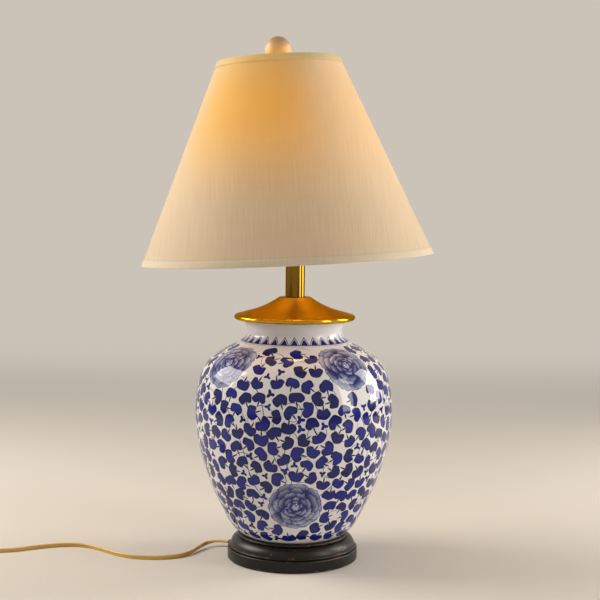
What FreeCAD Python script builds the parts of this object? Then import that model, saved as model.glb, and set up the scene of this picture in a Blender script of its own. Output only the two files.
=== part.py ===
import FreeCAD, Part

import math
import os

# Table lamp on a porcelain ginger jar, in millimetres.
# Origin: centre of the felt under the wooden base. +Z is up and -Y faces the viewer.
# The cord leaves at the back left.

os.makedirs("parts", exist_ok=True)
V = FreeCAD.Vector
UP = V(0, 0, 1)
AXIS_X = V(1, 0, 0)
AXIS_Y = V(0, 1, 0)

# ---- driving dimensions --------------------------------------------------------------------------

SEAT_GAP = 0.1            # air between flat faces of pieces that move apart
RUNNING_FIT = 0.05        # radial clearance of a shaft or thread in its hole
ASSEMBLY_FIT = 0.15       # radial clearance of parts that are slipped together for good

# Wooden base, turned: drum, bead, ovolo and lip, from the table upwards.
FELT_THICKNESS = 1.5
FELT_INSET = 3.0
BASE_R = 91.6
DRUM_HEIGHT = 15.0
DRUM_EDGE = 1.4
BEAD_PROUD = 2.6          # how far the drum stands outside the quirk behind the bead
BEAD_HEIGHT = 3.4
OVOLO_HEIGHT = 12.0
OVOLO_DEPTH = 9.6
OVOLO_BULGE = 2.5
LIP_HEIGHT = 4.4
LIP_SET_IN = 1.8
LIP_EDGE = 1.6
RECESS_R = 34.0
RECESS_DEPTH = 22.5
CORD_HEIGHT = 7.5         # cord channel's height above the table
CORD_AZIMUTH = 155.0      # direction of the cord's exit, seen from above

# Threaded rod (1/8 IP) and the washer and nut that clamp the whole column on it.
ROD_R = 5.15
ROD_BORE_R = 3.5
ROD_HOLE_FIT = 0.6
WASHER_R = 16.0
WASHER_THICKNESS = 2.0
NUT_ACROSS_FLATS = 17.5
NUT_HEIGHT = 5.0
ROD_BELOW_NUT = 1.0

# Porcelain jar: outside radius against height above the wooden base.
JAR_FOOT_R = 71.5
JAR_BELLY_R = 138.3
JAR_BELLY_HEIGHT = 169.0
JAR_NECK_R = 66.5
JAR_NECK_HEIGHT = 283.0
JAR_LOWER_CURVE = [(80.2, 6.0), (88.3, 15.0), (98.9, 34.0), (113.0, 63.0), (127.0, 102.0), (135.6, 138.0)]
JAR_SHOULDER_CURVE = [(137.0, 196.0), (131.6, 222.0), (121.4, 242.0), (105.6, 255.5), (88.0, 265.5),
                      (73.4, 274.0)]
JAR_COLLAR_CURVE = [(69.0, 294.0)]
JAR_RIM_R = 72.0
JAR_WALL = 5.0
JAR_FOOT_RING = 8.0
JAR_FOOT_RECESS = 4.0

# Spun brass cap: rolled rim, flank that rests on the jar, sweep up to a flat top.
CAP_RIM_R = 84.8
CAP_RIM_HEIGHT = 305.0    # centre of the rolled rim above the wooden base
CAP_BEAD_R = 3.4
CAP_FLANK_OUT_R = 81.5
CAP_FLANK_IN_R = 62.0
CAP_FLANK_RISE = 5.4
CAP_SWEEP_R = 23.5
CAP_SWEEP_RISE = 18.0
CAP_TOP_R = 22.6
CAP_TOP_RISE = 0.8
CAP_THICKNESS = 1.2

# Brass neck tube and the two check rings that centre it on the rod.
NECK_R = 13.5
NECK_WALL = 1.0
NECK_LENGTH = 51.6
RING_FLANGE = 1.2
RING_PLUG = 3.5

# Harp saddle, harp and sleeves. The harp leans to the left.
HARP_HEIGHT = 264.1       # saddle's top to the seat of the shade
HARP_LEAN = 5.6           # degrees
HARP_WIRE_R = 1.9
HARP_LEG_Y = 31.0
HARP_LEG_STRAIGHT = 36.0
HARP_BULGE_Y = 54.0
HARP_BULGE_HEIGHT = 132.0
HARP_TOP_CORNER_Y = 22.6
HARP_FOOT_RADIUS = 60.0
HARP_SIDE_RADIUS = 220.0
HARP_TOP_RADIUS = 27.0
SADDLE_WIDTH = 12.0
SADDLE_THICKNESS = 1.6
SADDLE_TAB_WIDTH = 4.4
SADDLE_TAB_HEIGHT = 11.0
SLEEVE_R = 4.6
SLEEVE_BORE_R = 3.75
SLEEVE_LENGTH = 14.0
STUD_R = 3.175            # 1/4-27 thread
STUD_HEIGHT = 9.6
HARP_PLATE_R = 8.0
HARP_PLATE_THICKNESS = 2.0
HARP_CLIP_DEPTH = 4.6

# Shade: a cone of linen on a hard backing, on a top ring with three arms and a bottom ring.
# It leans to the left.
SHADE_LEAN = 3.2          # degrees
SHADE_TOP_R = 85.2
SHADE_BOTTOM_R = 203.2
SHADE_HEIGHT = 274.6
SHADE_WALL = 1.0
SPIDER_DROP = 9.2         # spider's seat below the shade's top edge
SPIDER_WASHER_R = 12.0
SPIDER_WASHER_THICKNESS = 1.5
SPIDER_HOLE_FIT = 0.3
SPIDER_ARMS = 3
RING_WIRE_R = 1.6
TRIM_THICKNESS = 0.8
TRIM_HEIGHT = 9.0
TRIM_TURN_IN = 5.5

# Finial: a ball on a threaded brass insert.
BALL_R = 18.1
INSERT_FLANGE_R = 6.5
INSERT_FLANGE_HEIGHT = 4.0
INSERT_R = 5.0
INSERT_DEPTH = 12.0
BALL_SINK = 0.5           # how deep the flat on the ball's underside is cut

# Lampholder (E26), from the top of the harp saddle upwards.
HUB_R = 7.5
HUB_HEIGHT = 7.0
SOCKET_R = 16.4
SOCKET_WALL = 0.5
CAP_SKIRT_HEIGHT = 7.0
CAP_DOME_HEIGHT = 10.0
SOCKET_CAP_WALL = 0.8
SHELL_START = 18.0
SHELL_END = 66.0
SHELL_LIP = 0.8
LINER_WALL = 0.6
BLOCK_R = 14.4
BLOCK_START = 24.0
BLOCK_END = 44.0
BLOCK_FLAT_Y = 11.0
SCREW_SHELL_R = 13.85
SCREW_SHELL_WALL = 0.45
SCREW_SHELL_END = 64.0
CONTACT_RISE = 4.0
CONTACT_WIDTH = 5.0
CONTACT_THICKNESS = 0.8
TERMINAL_HEAD_R = 3.2
TERMINAL_HEAD_HEIGHT = 2.0
TERMINAL_STEM_R = 1.6
SET_SCREW_R = 1.5
SET_SCREW_LENGTH = 6.5

# Switch knob, on the right of the socket.
SHAFT_R = 1.9
SHAFT_HEIGHT = 34.0
SHAFT_INNER_X = 7.0
KNOB_R = 4.6
KNOB_TIP_R = 3.8
KNOB_LENGTH = 14.0
KNOB_GAP = 1.2
KNOB_RIBS = 12
KNOB_RIB_R = 0.5

# Bulb, standard A19 shape: 60 mm across, 110 mm long.
BULB_R = 30.0
BULB_LENGTH = 110.0
BULB_BASE_R = 12.95
BULB_BASE_LENGTH = 26.0
BULB_NECK_R = 14.0
BULB_WALL = 0.8
BULB_BASE_WALL = 0.7
BULB_BASE_TAPER = 2.0
BULB_CONTACT_R = 2.5
BULB_TIP_R = 4.6
BULB_TIP_HEIGHT = 3.0
BULB_COLLAR_R = 9.5
BULB_COLLAR_HEIGHT = 4.0

# Cord: amber twin lead, 5.6 mm wide, with its coil and plug.
CORD_R = 2.8
BUSHING_FIT = 0.2
BUSHING_R = 4.6
BUSHING_FLANGE_R = 5.6
BUSHING_FLANGE = 2.0
BUSHING_DEPTH = 14.0
NOSE_LENGTH = 8.0
NOSE_TIP_R = 3.7
FIRST_RUN = 17.0          # the cord's straight way out of the nose
INNER_BEND = 8.0
LEAD_R = 1.2
COIL_X = -480.0
COIL_Y = -45.0
COIL_PITCH = 6.2
COIL_OUTER_R = 41.5
COIL_HALF_TURNS = 6       # half turns in each of the two layers, with one more that climbs between them
COIL_LAYERS_APART = 6.1
TAIL_STRAIGHT = 9.0       # level stretch after the last turn, clear of the turn below it
TAIL_LENGTH = 12.0
PLUG_LENGTH = 24.0
PLUG_WIDTH = 20.0
PLUG_THICKNESS = 14.4
PLUG_NOSE_WIDTH = 11.0
PLUG_ROUNDING = 2.5
BLADE_LENGTH = 17.5
BLADE_WIDE = 7.9
BLADE_NARROW = 6.35
BLADE_THICKNESS = 1.5
BLADE_SPACING = 12.7
BLADE_ROOT = 5.0
BLADE_HOLE_R = 1.6
BLADE_HOLE_BACK = 6.0     # hole's centre behind the blade's tip

# ---- heights and frames worked out from them -----------------------------------------------------

DRUM_TOP = FELT_THICKNESS + DRUM_HEIGHT
BEAD_TOP = DRUM_TOP + BEAD_HEIGHT
OVOLO_TOP = BEAD_TOP + OVOLO_HEIGHT
BASE_TOP = OVOLO_TOP + LIP_HEIGHT
RECESS_TOP = FELT_THICKNESS + RECESS_DEPTH
ROD_BOTTOM = RECESS_TOP - WASHER_THICKNESS - NUT_HEIGHT - ROD_BELOW_NUT
CAP_BEAD_Z = BASE_TOP + CAP_RIM_HEIGHT
CAP_FLANK_Z = CAP_BEAD_Z + CAP_BEAD_R
CAP_SWEEP_Z = CAP_FLANK_Z + CAP_FLANK_RISE
CAP_SHOULDER_Z = CAP_SWEEP_Z + CAP_SWEEP_RISE
CAP_TOP = CAP_SHOULDER_Z + CAP_TOP_RISE
NECK_BOTTOM = CAP_TOP + RING_FLANGE
NECK_TOP = NECK_BOTTOM + NECK_LENGTH
SADDLE_BOTTOM = NECK_TOP + RING_FLANGE
SADDLE_TOP = SADDLE_BOTTOM + SADDLE_THICKNESS
ROD_TOP = SADDLE_TOP + HUB_HEIGHT + SOCKET_CAP_WALL
KNOB_BASE_X = SOCKET_R + KNOB_GAP
SHAFT_Z = SADDLE_TOP + SHAFT_HEIGHT
BULB_TIP_Z = SADDLE_TOP + BLOCK_END + CONTACT_RISE + SEAT_GAP

harp_frame = FreeCAD.Placement(V(0, 0, SADDLE_TOP), FreeCAD.Rotation(AXIS_Y, -HARP_LEAN))
shade_seat = harp_frame.multVec(V(0, 0, HARP_HEIGHT))
shade_frame = FreeCAD.Placement(shade_seat, FreeCAD.Rotation(AXIS_Y, -SHADE_LEAN))
cord_frame = FreeCAD.Placement(V(0, 0, CORD_HEIGHT), FreeCAD.Rotation(UP, CORD_AZIMUTH))


# ---- helpers -------------------------------------------------------------------------------------

def save(shape, name):
    """Write one node and print how many solids it holds and their volume."""
    shape.exportStep("parts/" + name + ".step")
    print(name, len(shape.Solids), "solid(s)", round(shape.Volume, 1), "mm3")
    return shape


def placed(shape, frame):
    """A copy of a shape that was made about the origin, set into a frame."""
    copy = shape.copy()
    copy.Placement = frame.multiply(copy.Placement)
    return copy


def line(a, b):
    return Part.LineSegment(a, b).toShape()


def arc(a, middle, b):
    return Part.Arc(a, middle, b).toShape()


def rz(r, z):
    """A point of an outline, radius across and height up."""
    return V(r, 0, z)


def turned(edges):
    """Solid of revolution about Z of a closed outline."""
    face = Part.Face(Part.Wire(edges))
    return Part.makeSolid(face.revolve(V(0, 0, 0), UP, 360).Shells[0])


def polygon(points):
    """Straight edges round a list of points, closed."""
    return [line(a, b) for a, b in zip(points, points[1:] + points[:1])]


def turned_polygon(points):
    return turned(polygon([rz(r, z) for r, z in points]))


def tube(r_out, r_in, bottom, top):
    return turned_polygon([(r_in, bottom), (r_out, bottom), (r_out, top), (r_in, top)])


def disc(r, bottom, top):
    return Part.makeCylinder(r, top - bottom, V(0, 0, bottom))


def block(x0, x1, y0, y1, z0, z1):
    return Part.makeBox(x1 - x0, y1 - y0, z1 - z0, V(x0, y0, z0))


def bulged(a, b, bulge):
    """Arc from a to b in an outline, its middle set off to the left of the way by bulge."""
    way = b - a
    left = V(-way.z, 0, way.x).normalize()
    return arc(a, (a + b) * 0.5 + left * bulge, b)


def rounded_path(points, radii):
    """Straight runs through points, joined by tangent arcs of the given radii at the inner points."""
    edges = []
    start = points[0]
    for before, corner, after, radius in zip(points, points[1:], points[2:], radii):
        way_in = (corner - before).normalize()
        way_out = (after - corner).normalize()
        half_turn = way_in.getAngle(way_out) / 2
        setback = radius * math.tan(half_turn)
        centre_way = (way_out - way_in).normalize()
        begin = corner - way_in * setback
        end = corner + way_out * setback
        middle = corner + centre_way * (radius / math.cos(half_turn) - radius)
        edges += [line(start, begin), arc(begin, middle, end)]
        start = end
    edges.append(line(start, points[-1]))
    return Part.Wire(edges)


def widest_radii(points, share=0.45):
    """At each inner point, the arc radius that takes a share of the shorter run on each side."""
    radii = []
    for before, corner, after in zip(points, points[1:], points[2:]):
        run_in = corner - before
        run_out = after - corner
        shorter = min(run_in.Length, run_out.Length)
        radii.append(share * shorter / math.tan(run_in.getAngle(run_out) / 2))
    return radii


def biarc(start, way_in, end, way_out):
    """Two tangent arcs between two points that leave and arrive in given directions."""
    gap = end - start
    ways = way_in + way_out
    parallel = 1 - way_in.dot(way_out)
    if parallel < 1e-9:
        reach = gap.dot(gap) / (4 * gap.dot(way_in))
    else:
        along = gap.dot(ways)
        reach = (math.sqrt(along * along + 2 * parallel * gap.dot(gap)) - along) / (2 * parallel)
    middle = (start + way_in * reach + end - way_out * reach) * 0.5
    way_middle = (end - way_out * reach - start - way_in * reach).normalize()
    edges = []
    for a, way_a, b in ((start, way_in, middle), (middle, way_middle, end)):
        chord = b - a
        half = way_a.getAngle(chord) / 2
        aside = way_a * chord.Length - chord * math.cos(2 * half)
        rise = chord.Length / 2 * math.tan(half)
        edges.append(arc(a, (a + b) * 0.5 + aside.normalize() * rise, b))
    return edges


def swept(path, radius):
    """Round wire or tube along a path."""
    first = path.Edges[0]
    start = first.valueAt(first.FirstParameter)
    way = first.tangentAt(first.FirstParameter)
    ring = Part.Wire([Part.Circle(start, way, radius).toShape()])
    solid = path.makePipeShell([ring], True, False)
    expected = math.pi * radius * radius * path.Length
    share = round(solid.Volume / expected, 4)
    print("  tube length", round(path.Length, 1), "volume against section times length", share)
    return solid


# ---- wooden base, felt, rod, washer, nut ---------------------------------------------------------

def wooden_base():
    quirk_r = BASE_R - BEAD_PROUD - DRUM_EDGE
    ovolo_top_r = quirk_r - OVOLO_DEPTH
    lip_r = ovolo_top_r - LIP_SET_IN
    low = FELT_THICKNESS
    corner = DRUM_EDGE * (1 - math.sqrt(0.5))
    drum = [rz(BASE_R, low), rz(BASE_R, DRUM_TOP - DRUM_EDGE)]
    edge_end = rz(BASE_R - DRUM_EDGE, DRUM_TOP)
    bead_start = rz(quirk_r, DRUM_TOP)
    bead_end = rz(quirk_r, BEAD_TOP)
    ovolo_end = rz(ovolo_top_r, OVOLO_TOP)
    lip_start = rz(lip_r, OVOLO_TOP)
    lip_end = rz(lip_r, BASE_TOP)
    hole_r = ROD_R + ROD_HOLE_FIT
    inside = [lip_end, rz(hole_r, BASE_TOP), rz(hole_r, RECESS_TOP), rz(RECESS_R, RECESS_TOP),
              rz(RECESS_R, low), drum[0]]
    edges = [line(*drum)]
    edges.append(arc(drum[1], rz(BASE_R - corner, DRUM_TOP - corner), edge_end))
    edges.append(line(edge_end, bead_start))
    edges.append(bulged(bead_start, bead_end, -BEAD_HEIGHT / 2.2))
    edges.append(bulged(bead_end, ovolo_end, -OVOLO_BULGE))
    edges.append(line(ovolo_end, lip_start))
    edges.append(bulged(lip_start, lip_end, -LIP_EDGE))
    edges += [line(a, b) for a, b in zip(inside, inside[1:])]
    body = turned(edges)
    channel = Part.makeCylinder(BUSHING_R, BASE_R, V(0, 0, 0), AXIS_X)
    return body.cut(placed(channel, cord_frame))


base = wooden_base()
save(base, "wooden_base")
save(disc(BASE_R - FELT_INSET, 0, FELT_THICKNESS), "felt_pad")
save(tube(ROD_R, ROD_BORE_R, ROD_BOTTOM, ROD_TOP), "threaded_rod")
save(tube(WASHER_R, ROD_R + ASSEMBLY_FIT, RECESS_TOP - WASHER_THICKNESS, RECESS_TOP), "base_washer")


def hex_nut():
    corner_r = NUT_ACROSS_FLATS / math.sqrt(3)
    top = RECESS_TOP - WASHER_THICKNESS
    angles = [math.pi / 3 * k for k in range(6)]
    corners = [V(corner_r * math.cos(a), corner_r * math.sin(a), top) for a in angles]
    hexagon = Part.Face(Part.Wire(polygon(corners))).extrude(V(0, 0, -NUT_HEIGHT))
    return hexagon.cut(disc(ROD_R + RUNNING_FIT, top - NUT_HEIGHT, top))


save(hex_nut(), "base_nut")


# ---- porcelain jar -------------------------------------------------------------------------------

def cap_underside(r):
    """Height of the underside of the cap's flank at radius r."""
    slope = CAP_FLANK_RISE / (CAP_FLANK_OUT_R - CAP_FLANK_IN_R)
    return CAP_FLANK_Z + (CAP_FLANK_OUT_R - r) * slope - CAP_THICKNESS


def porcelain_jar():
    rim_z = cap_underside(JAR_RIM_R)
    heights = JAR_LOWER_CURVE + [(JAR_BELLY_R, JAR_BELLY_HEIGHT)] + JAR_SHOULDER_CURVE
    heights += [(JAR_NECK_R, JAR_NECK_HEIGHT)] + JAR_COLLAR_CURVE
    outer_points = [rz(JAR_FOOT_R, BASE_TOP)] + [rz(r, BASE_TOP + h) for r, h in heights]
    outer_points.append(rz(JAR_RIM_R, rim_z))
    outer = Part.BSplineCurve()
    outer.interpolate(outer_points)
    floor_z = BASE_TOP + JAR_FOOT_RECESS + JAR_WALL + 2
    inner_points = []
    for point in outer_points[1:-1]:
        way = outer.tangent(outer.parameter(point))[0]
        inner_points.append(point + V(-way.z, 0, way.x).normalize() * JAR_WALL)
    inner_points = [p for p in inner_points if p.z > floor_z + JAR_WALL]
    mouth = rz(JAR_RIM_R - JAR_WALL, cap_underside(JAR_RIM_R - JAR_WALL))
    inner = Part.BSplineCurve()
    inner.interpolate([mouth] + inner_points[::-1])
    hole_r = ROD_R + ROD_HOLE_FIT
    ring_r = JAR_FOOT_R - JAR_FOOT_RING
    underside = BASE_TOP + JAR_FOOT_RECESS
    bottom = [inner_points[0], rz(inner_points[0].x - JAR_WALL, floor_z), rz(hole_r, floor_z),
              rz(hole_r, underside), rz(ring_r, underside), rz(ring_r, BASE_TOP), rz(JAR_FOOT_R, BASE_TOP)]
    edges = [outer.toShape(), line(outer_points[-1], mouth), inner.toShape()]
    edges += [line(a, b) for a, b in zip(bottom, bottom[1:])]
    return turned(edges)


save(porcelain_jar(), "porcelain_jar")


# ---- brass cap, neck tube, check rings -----------------------------------------------------------

def brass_cap():
    hole_r = ROD_R + ASSEMBLY_FIT
    slope = math.atan2(CAP_FLANK_RISE, CAP_FLANK_OUT_R - CAP_FLANK_IN_R)
    sweep_in = rz(CAP_FLANK_IN_R, CAP_SWEEP_Z)
    sweep_out = rz(CAP_SWEEP_R, CAP_SHOULDER_Z)
    chord = sweep_out - sweep_in
    half_turn = (math.atan2(chord.z, -chord.x) - slope) / 2
    sag = chord.Length / 2 * math.tan(half_turn)
    drop = V(0, 0, -CAP_THICKNESS)
    flank = rz(CAP_FLANK_OUT_R, CAP_FLANK_Z)
    top = rz(CAP_TOP_R, CAP_TOP)
    centre = rz(hole_r, CAP_TOP)
    edges = [line(flank, sweep_in), bulged(sweep_in, sweep_out, sag), line(sweep_out, top), line(top, centre)]
    edges.append(line(centre, centre + drop))
    edges += [line(centre + drop, top + drop), line(top + drop, sweep_out + drop)]
    edges += [bulged(sweep_out + drop, sweep_in + drop, -sag), line(sweep_in + drop, flank + drop)]
    edges.append(line(flank + drop, flank))
    bead = Part.makeTorus(CAP_RIM_R - CAP_BEAD_R, CAP_BEAD_R, V(0, 0, CAP_BEAD_Z))
    return turned(edges).fuse(bead).removeSplitter()


def check_ring(seat, way):
    """Flange on the tube's end and a plug inside it; way is +1 when the plug points up."""
    plug_r = NECK_R - NECK_WALL - ASSEMBLY_FIT
    hole_r = ROD_R + ASSEMBLY_FIT
    flange = seat - way * RING_FLANGE
    outline = [(hole_r, flange), (NECK_R, flange), (NECK_R, seat), (plug_r, seat)]
    outline += [(plug_r, seat + way * RING_PLUG), (hole_r, seat + way * RING_PLUG)]
    return turned_polygon(outline)


save(brass_cap(), "brass_cap")
save(tube(NECK_R, NECK_R - NECK_WALL, NECK_BOTTOM, NECK_TOP), "neck_tube")
save(Part.Compound([check_ring(NECK_BOTTOM, 1), check_ring(NECK_TOP, -1)]), "check_rings")


# ---- harp saddle, harp, sleeves ------------------------------------------------------------------

TAB_OUTER_Y = HARP_LEG_Y - HARP_WIRE_R - ASSEMBLY_FIT
SLEEVE_Y = (HARP_LEG_Y + HARP_WIRE_R + TAB_OUTER_Y - SADDLE_THICKNESS) / 2


def harp_saddle():
    half = SADDLE_WIDTH / 2
    tab_half = SADDLE_TAB_WIDTH / 2
    foot_y = HARP_LEG_Y + HARP_WIRE_R
    strip = block(-half, half, -foot_y, foot_y, SADDLE_BOTTOM, SADDLE_TOP)
    strip = strip.cut(disc(ROD_R + ASSEMBLY_FIT, SADDLE_BOTTOM, SADDLE_TOP))
    for side in (-1, 1):
        y_in, y_out = sorted([side * (TAB_OUTER_Y - SADDLE_THICKNESS), side * TAB_OUTER_Y])
        tab = block(-tab_half, tab_half, y_in, y_out, -SADDLE_THICKNESS / 2, SADDLE_TAB_HEIGHT)
        strip = strip.fuse(placed(tab, harp_frame))
    return strip.removeSplitter()


def harp_wire():
    right = [V(0, HARP_LEG_Y, SEAT_GAP + HARP_WIRE_R * math.sin(math.radians(HARP_LEAN))),
             V(0, HARP_LEG_Y, HARP_LEG_STRAIGHT),
             V(0, HARP_BULGE_Y, HARP_BULGE_HEIGHT),
             V(0, HARP_TOP_CORNER_Y, HARP_HEIGHT - HARP_PLATE_THICKNESS - HARP_WIRE_R - SEAT_GAP)]
    left = [V(0, -p.y, p.z) for p in reversed(right)]
    radii = [HARP_FOOT_RADIUS, HARP_SIDE_RADIUS, HARP_TOP_RADIUS]
    return placed(swept(rounded_path(right + left, radii + radii[::-1]), HARP_WIRE_R), harp_frame)


def harp_plate(wire):
    """Disc with the threaded stud above it and a clip round the wire below it."""
    plate = disc(HARP_PLATE_R, -HARP_PLATE_THICKNESS, 0)
    stud = disc(STUD_R, -HARP_PLATE_THICKNESS, STUD_HEIGHT)
    clip_half = HARP_WIRE_R + 1.2
    clip = block(-clip_half, clip_half, -HARP_PLATE_R / 2, HARP_PLATE_R / 2,
                 -HARP_PLATE_THICKNESS - HARP_CLIP_DEPTH, -HARP_PLATE_THICKNESS)
    whole = plate.fuse([stud, clip]).removeSplitter()
    return placed(whole, shade_frame).cut(wire)


def harp_sleeve(side):
    bottom = SEAT_GAP + SLEEVE_R * math.sin(math.radians(HARP_LEAN))
    sleeve = tube(SLEEVE_R, SLEEVE_BORE_R, bottom, bottom + SLEEVE_LENGTH)
    sleeve.translate(V(0, side * SLEEVE_Y, 0))
    return placed(sleeve, harp_frame)


save(harp_saddle(), "harp_saddle")
wire = harp_wire()
save(wire, "harp_wire")
save(harp_plate(wire), "harp_plate")
save(harp_sleeve(-1), "front_harp_sleeve")
save(harp_sleeve(1), "rear_harp_sleeve")


# ---- shade ---------------------------------------------------------------------------------------
# Made about its own axis, with the spider's seat on the harp plate at height 0.

SHADE_TOP = SPIDER_DROP
SHADE_BOTTOM = SHADE_TOP - SHADE_HEIGHT
CONE_SLOPE = (SHADE_TOP_R - SHADE_BOTTOM_R) / SHADE_HEIGHT
RING_TOP_Z = SHADE_TOP - TRIM_THICKNESS - RING_WIRE_R
RING_BOTTOM_Z = SHADE_BOTTOM + TRIM_THICKNESS + RING_WIRE_R


def cone_r(z, offset=0.0):
    """Radius of the shade's outside at height z along its axis, moved outwards by offset."""
    return SHADE_BOTTOM_R - TRIM_THICKNESS + (z - SHADE_BOTTOM) * CONE_SLOPE + offset


def ring_r(z):
    return cone_r(z, -SHADE_WALL - ASSEMBLY_FIT - RING_WIRE_R / math.cos(math.atan(CONE_SLOPE)))


def shade_cover():
    low = SHADE_BOTTOM + TRIM_THICKNESS
    high = SHADE_TOP - TRIM_THICKNESS
    outline = [(cone_r(low, -SHADE_WALL), low), (cone_r(low), low), (cone_r(high), high)]
    outline.append((cone_r(high, -SHADE_WALL), high))
    return turned_polygon(outline)


def shade_trim(edge, way):
    """Folded band round an edge of the cover: outer leg, edge and a leg turned in past the ring."""
    inside = -SHADE_WALL - 2 * RING_WIRE_R - 4 * ASSEMBLY_FIT
    levels = {"edge": edge, "fold": edge + way * TRIM_THICKNESS,
              "in": edge + way * TRIM_TURN_IN, "out": edge + way * TRIM_HEIGHT}

    def corner(level, offset):
        return (cone_r(levels[level], offset), levels[level])

    outline = [corner("edge", inside - TRIM_THICKNESS), corner("edge", TRIM_THICKNESS),
               corner("out", TRIM_THICKNESS), corner("out", 0), corner("fold", 0), corner("fold", inside),
               corner("in", inside), corner("in", inside - TRIM_THICKNESS)]
    return turned_polygon(outline)


def top_ring_and_spider():
    spider = tube(SPIDER_WASHER_R, STUD_R + SPIDER_HOLE_FIT, SEAT_GAP, SEAT_GAP + SPIDER_WASHER_THICKNESS)
    ring = Part.makeTorus(ring_r(RING_TOP_Z), RING_WIRE_R, V(0, 0, RING_TOP_Z))
    pieces = [ring]
    near_z = SEAT_GAP + SPIDER_WASHER_THICKNESS + RING_WIRE_R * 0.6
    for k in range(SPIDER_ARMS):
        turn = FreeCAD.Rotation(UP, 360.0 * k / SPIDER_ARMS + 30)
        near = turn.multVec(V(SPIDER_WASHER_R - RING_WIRE_R, 0, near_z))
        far = turn.multVec(V(ring_r(RING_TOP_Z), 0, RING_TOP_Z))
        pieces.append(Part.makeCylinder(RING_WIRE_R, (far - near).Length, near, far - near))
    return spider.fuse(pieces).removeSplitter()


bottom_ring = Part.makeTorus(ring_r(RING_BOTTOM_Z), RING_WIRE_R, V(0, 0, RING_BOTTOM_Z))
save(placed(shade_cover(), shade_frame), "shade_cover")
spider = top_ring_and_spider()
save(placed(shade_trim(SHADE_TOP, -1).cut(spider), shade_frame), "shade_top_trim")
save(placed(shade_trim(SHADE_BOTTOM, 1), shade_frame), "shade_bottom_trim")
save(placed(spider, shade_frame), "top_ring_and_spider")
save(placed(bottom_ring, shade_frame), "bottom_ring")


# ---- finial --------------------------------------------------------------------------------------

INSERT_SEAT = SEAT_GAP + SPIDER_WASHER_THICKNESS + SEAT_GAP
BALL_FLAT = INSERT_SEAT + INSERT_FLANGE_HEIGHT + SEAT_GAP
BALL_Z = BALL_FLAT + BALL_R - BALL_SINK


def finial_insert():
    top = BALL_FLAT + INSERT_DEPTH
    flange_top = INSERT_SEAT + INSERT_FLANGE_HEIGHT
    bore_r = STUD_R + RUNNING_FIT
    bore_top = top - 2
    outline = [(bore_r, INSERT_SEAT), (INSERT_FLANGE_R, INSERT_SEAT), (INSERT_FLANGE_R, flange_top)]
    outline += [(INSERT_R, flange_top), (INSERT_R, top), (0, top), (0, bore_top), (bore_r, bore_top)]
    return turned_polygon(outline)


def finial_ball():
    ball = Part.makeSphere(BALL_R, V(0, 0, BALL_Z))
    below = disc(BALL_R, BALL_Z - BALL_R - 1, BALL_FLAT)
    bore = disc(INSERT_R + RUNNING_FIT, BALL_FLAT - 1, BALL_FLAT + INSERT_DEPTH + SEAT_GAP)
    return ball.cut([below, bore])


save(placed(finial_insert(), shade_frame), "finial_insert")
save(placed(finial_ball(), shade_frame), "finial_ball")


# ---- lampholder ----------------------------------------------------------------------------------
# Made with the harp saddle's top at height 0, then raised.

socket_frame = FreeCAD.Placement(V(0, 0, SADDLE_TOP), FreeCAD.Rotation())
LINER_R = SOCKET_R - SOCKET_WALL - ASSEMBLY_FIT
SKIRT_R = SOCKET_R + ASSEMBLY_FIT + SOCKET_CAP_WALL
SKIRT_BOTTOM = HUB_HEIGHT + CAP_DOME_HEIGHT


def radial_hole(r, height, length):
    """Cutter for a hole towards +X."""
    return Part.makeCylinder(r, length, V(0, 0, height), AXIS_X)


def socket_cap():
    hole_r = ROD_R + RUNNING_FIT
    wall = SOCKET_CAP_WALL
    hub = [rz(hole_r, 0), rz(HUB_R, 0), rz(HUB_R, HUB_HEIGHT)]
    dome_end = rz(SKIRT_R, SKIRT_BOTTOM)
    skirt_end = rz(SKIRT_R, SKIRT_BOTTOM + CAP_SKIRT_HEIGHT)
    inner_skirt_end = rz(SKIRT_R - wall, skirt_end.z)
    inner_dome_end = rz(SKIRT_R - wall, SKIRT_BOTTOM)
    inner_hub = rz(HUB_R, HUB_HEIGHT + wall)
    bulge = -CAP_DOME_HEIGHT * 0.25
    edges = [line(hub[0], hub[1]), line(hub[1], hub[2]), bulged(hub[2], dome_end, bulge)]
    edges += [line(dome_end, skirt_end), line(skirt_end, inner_skirt_end)]
    edges.append(line(inner_skirt_end, inner_dome_end))
    edges += [bulged(inner_dome_end, inner_hub, -bulge), line(inner_hub, rz(hole_r, inner_hub.z))]
    edges.append(line(rz(hole_r, inner_hub.z), hub[0]))
    screw_hole = Part.makeCylinder(SET_SCREW_R + RUNNING_FIT, HUB_R + 1, V(0, 0, HUB_HEIGHT / 2), -AXIS_X)
    return turned(edges).cut(screw_hole)


def set_screw():
    inner_x = -ROD_R - 2 * RUNNING_FIT
    shank = Part.makeCylinder(SET_SCREW_R, SET_SCREW_LENGTH, V(inner_x, 0, HUB_HEIGHT / 2), -AXIS_X)
    tip_x = inner_x - SET_SCREW_LENGTH
    slot = block(tip_x, tip_x + 0.8, -SET_SCREW_R, SET_SCREW_R, HUB_HEIGHT / 2 - 0.3, HUB_HEIGHT / 2 + 0.3)
    return shank.cut(slot)


def socket_shell():
    inner = SOCKET_R - SOCKET_WALL
    lip_r = SOCKET_R + SHELL_LIP
    outline = [(inner, SHELL_START), (SOCKET_R, SHELL_START), (SOCKET_R, SHELL_END - SHELL_LIP)]
    outline += [(lip_r, SHELL_END - SHELL_LIP), (lip_r, SHELL_END), (inner, SHELL_END)]
    return turned_polygon(outline).cut(radial_hole(SHAFT_R + 1, SHAFT_HEIGHT, SOCKET_R + 2))


def paper_liner():
    liner = tube(LINER_R, LINER_R - LINER_WALL, SHELL_START + 1, SHELL_END - 2)
    return liner.cut(radial_hole(SHAFT_R + 1, SHAFT_HEIGHT, SOCKET_R + 2))


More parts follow.
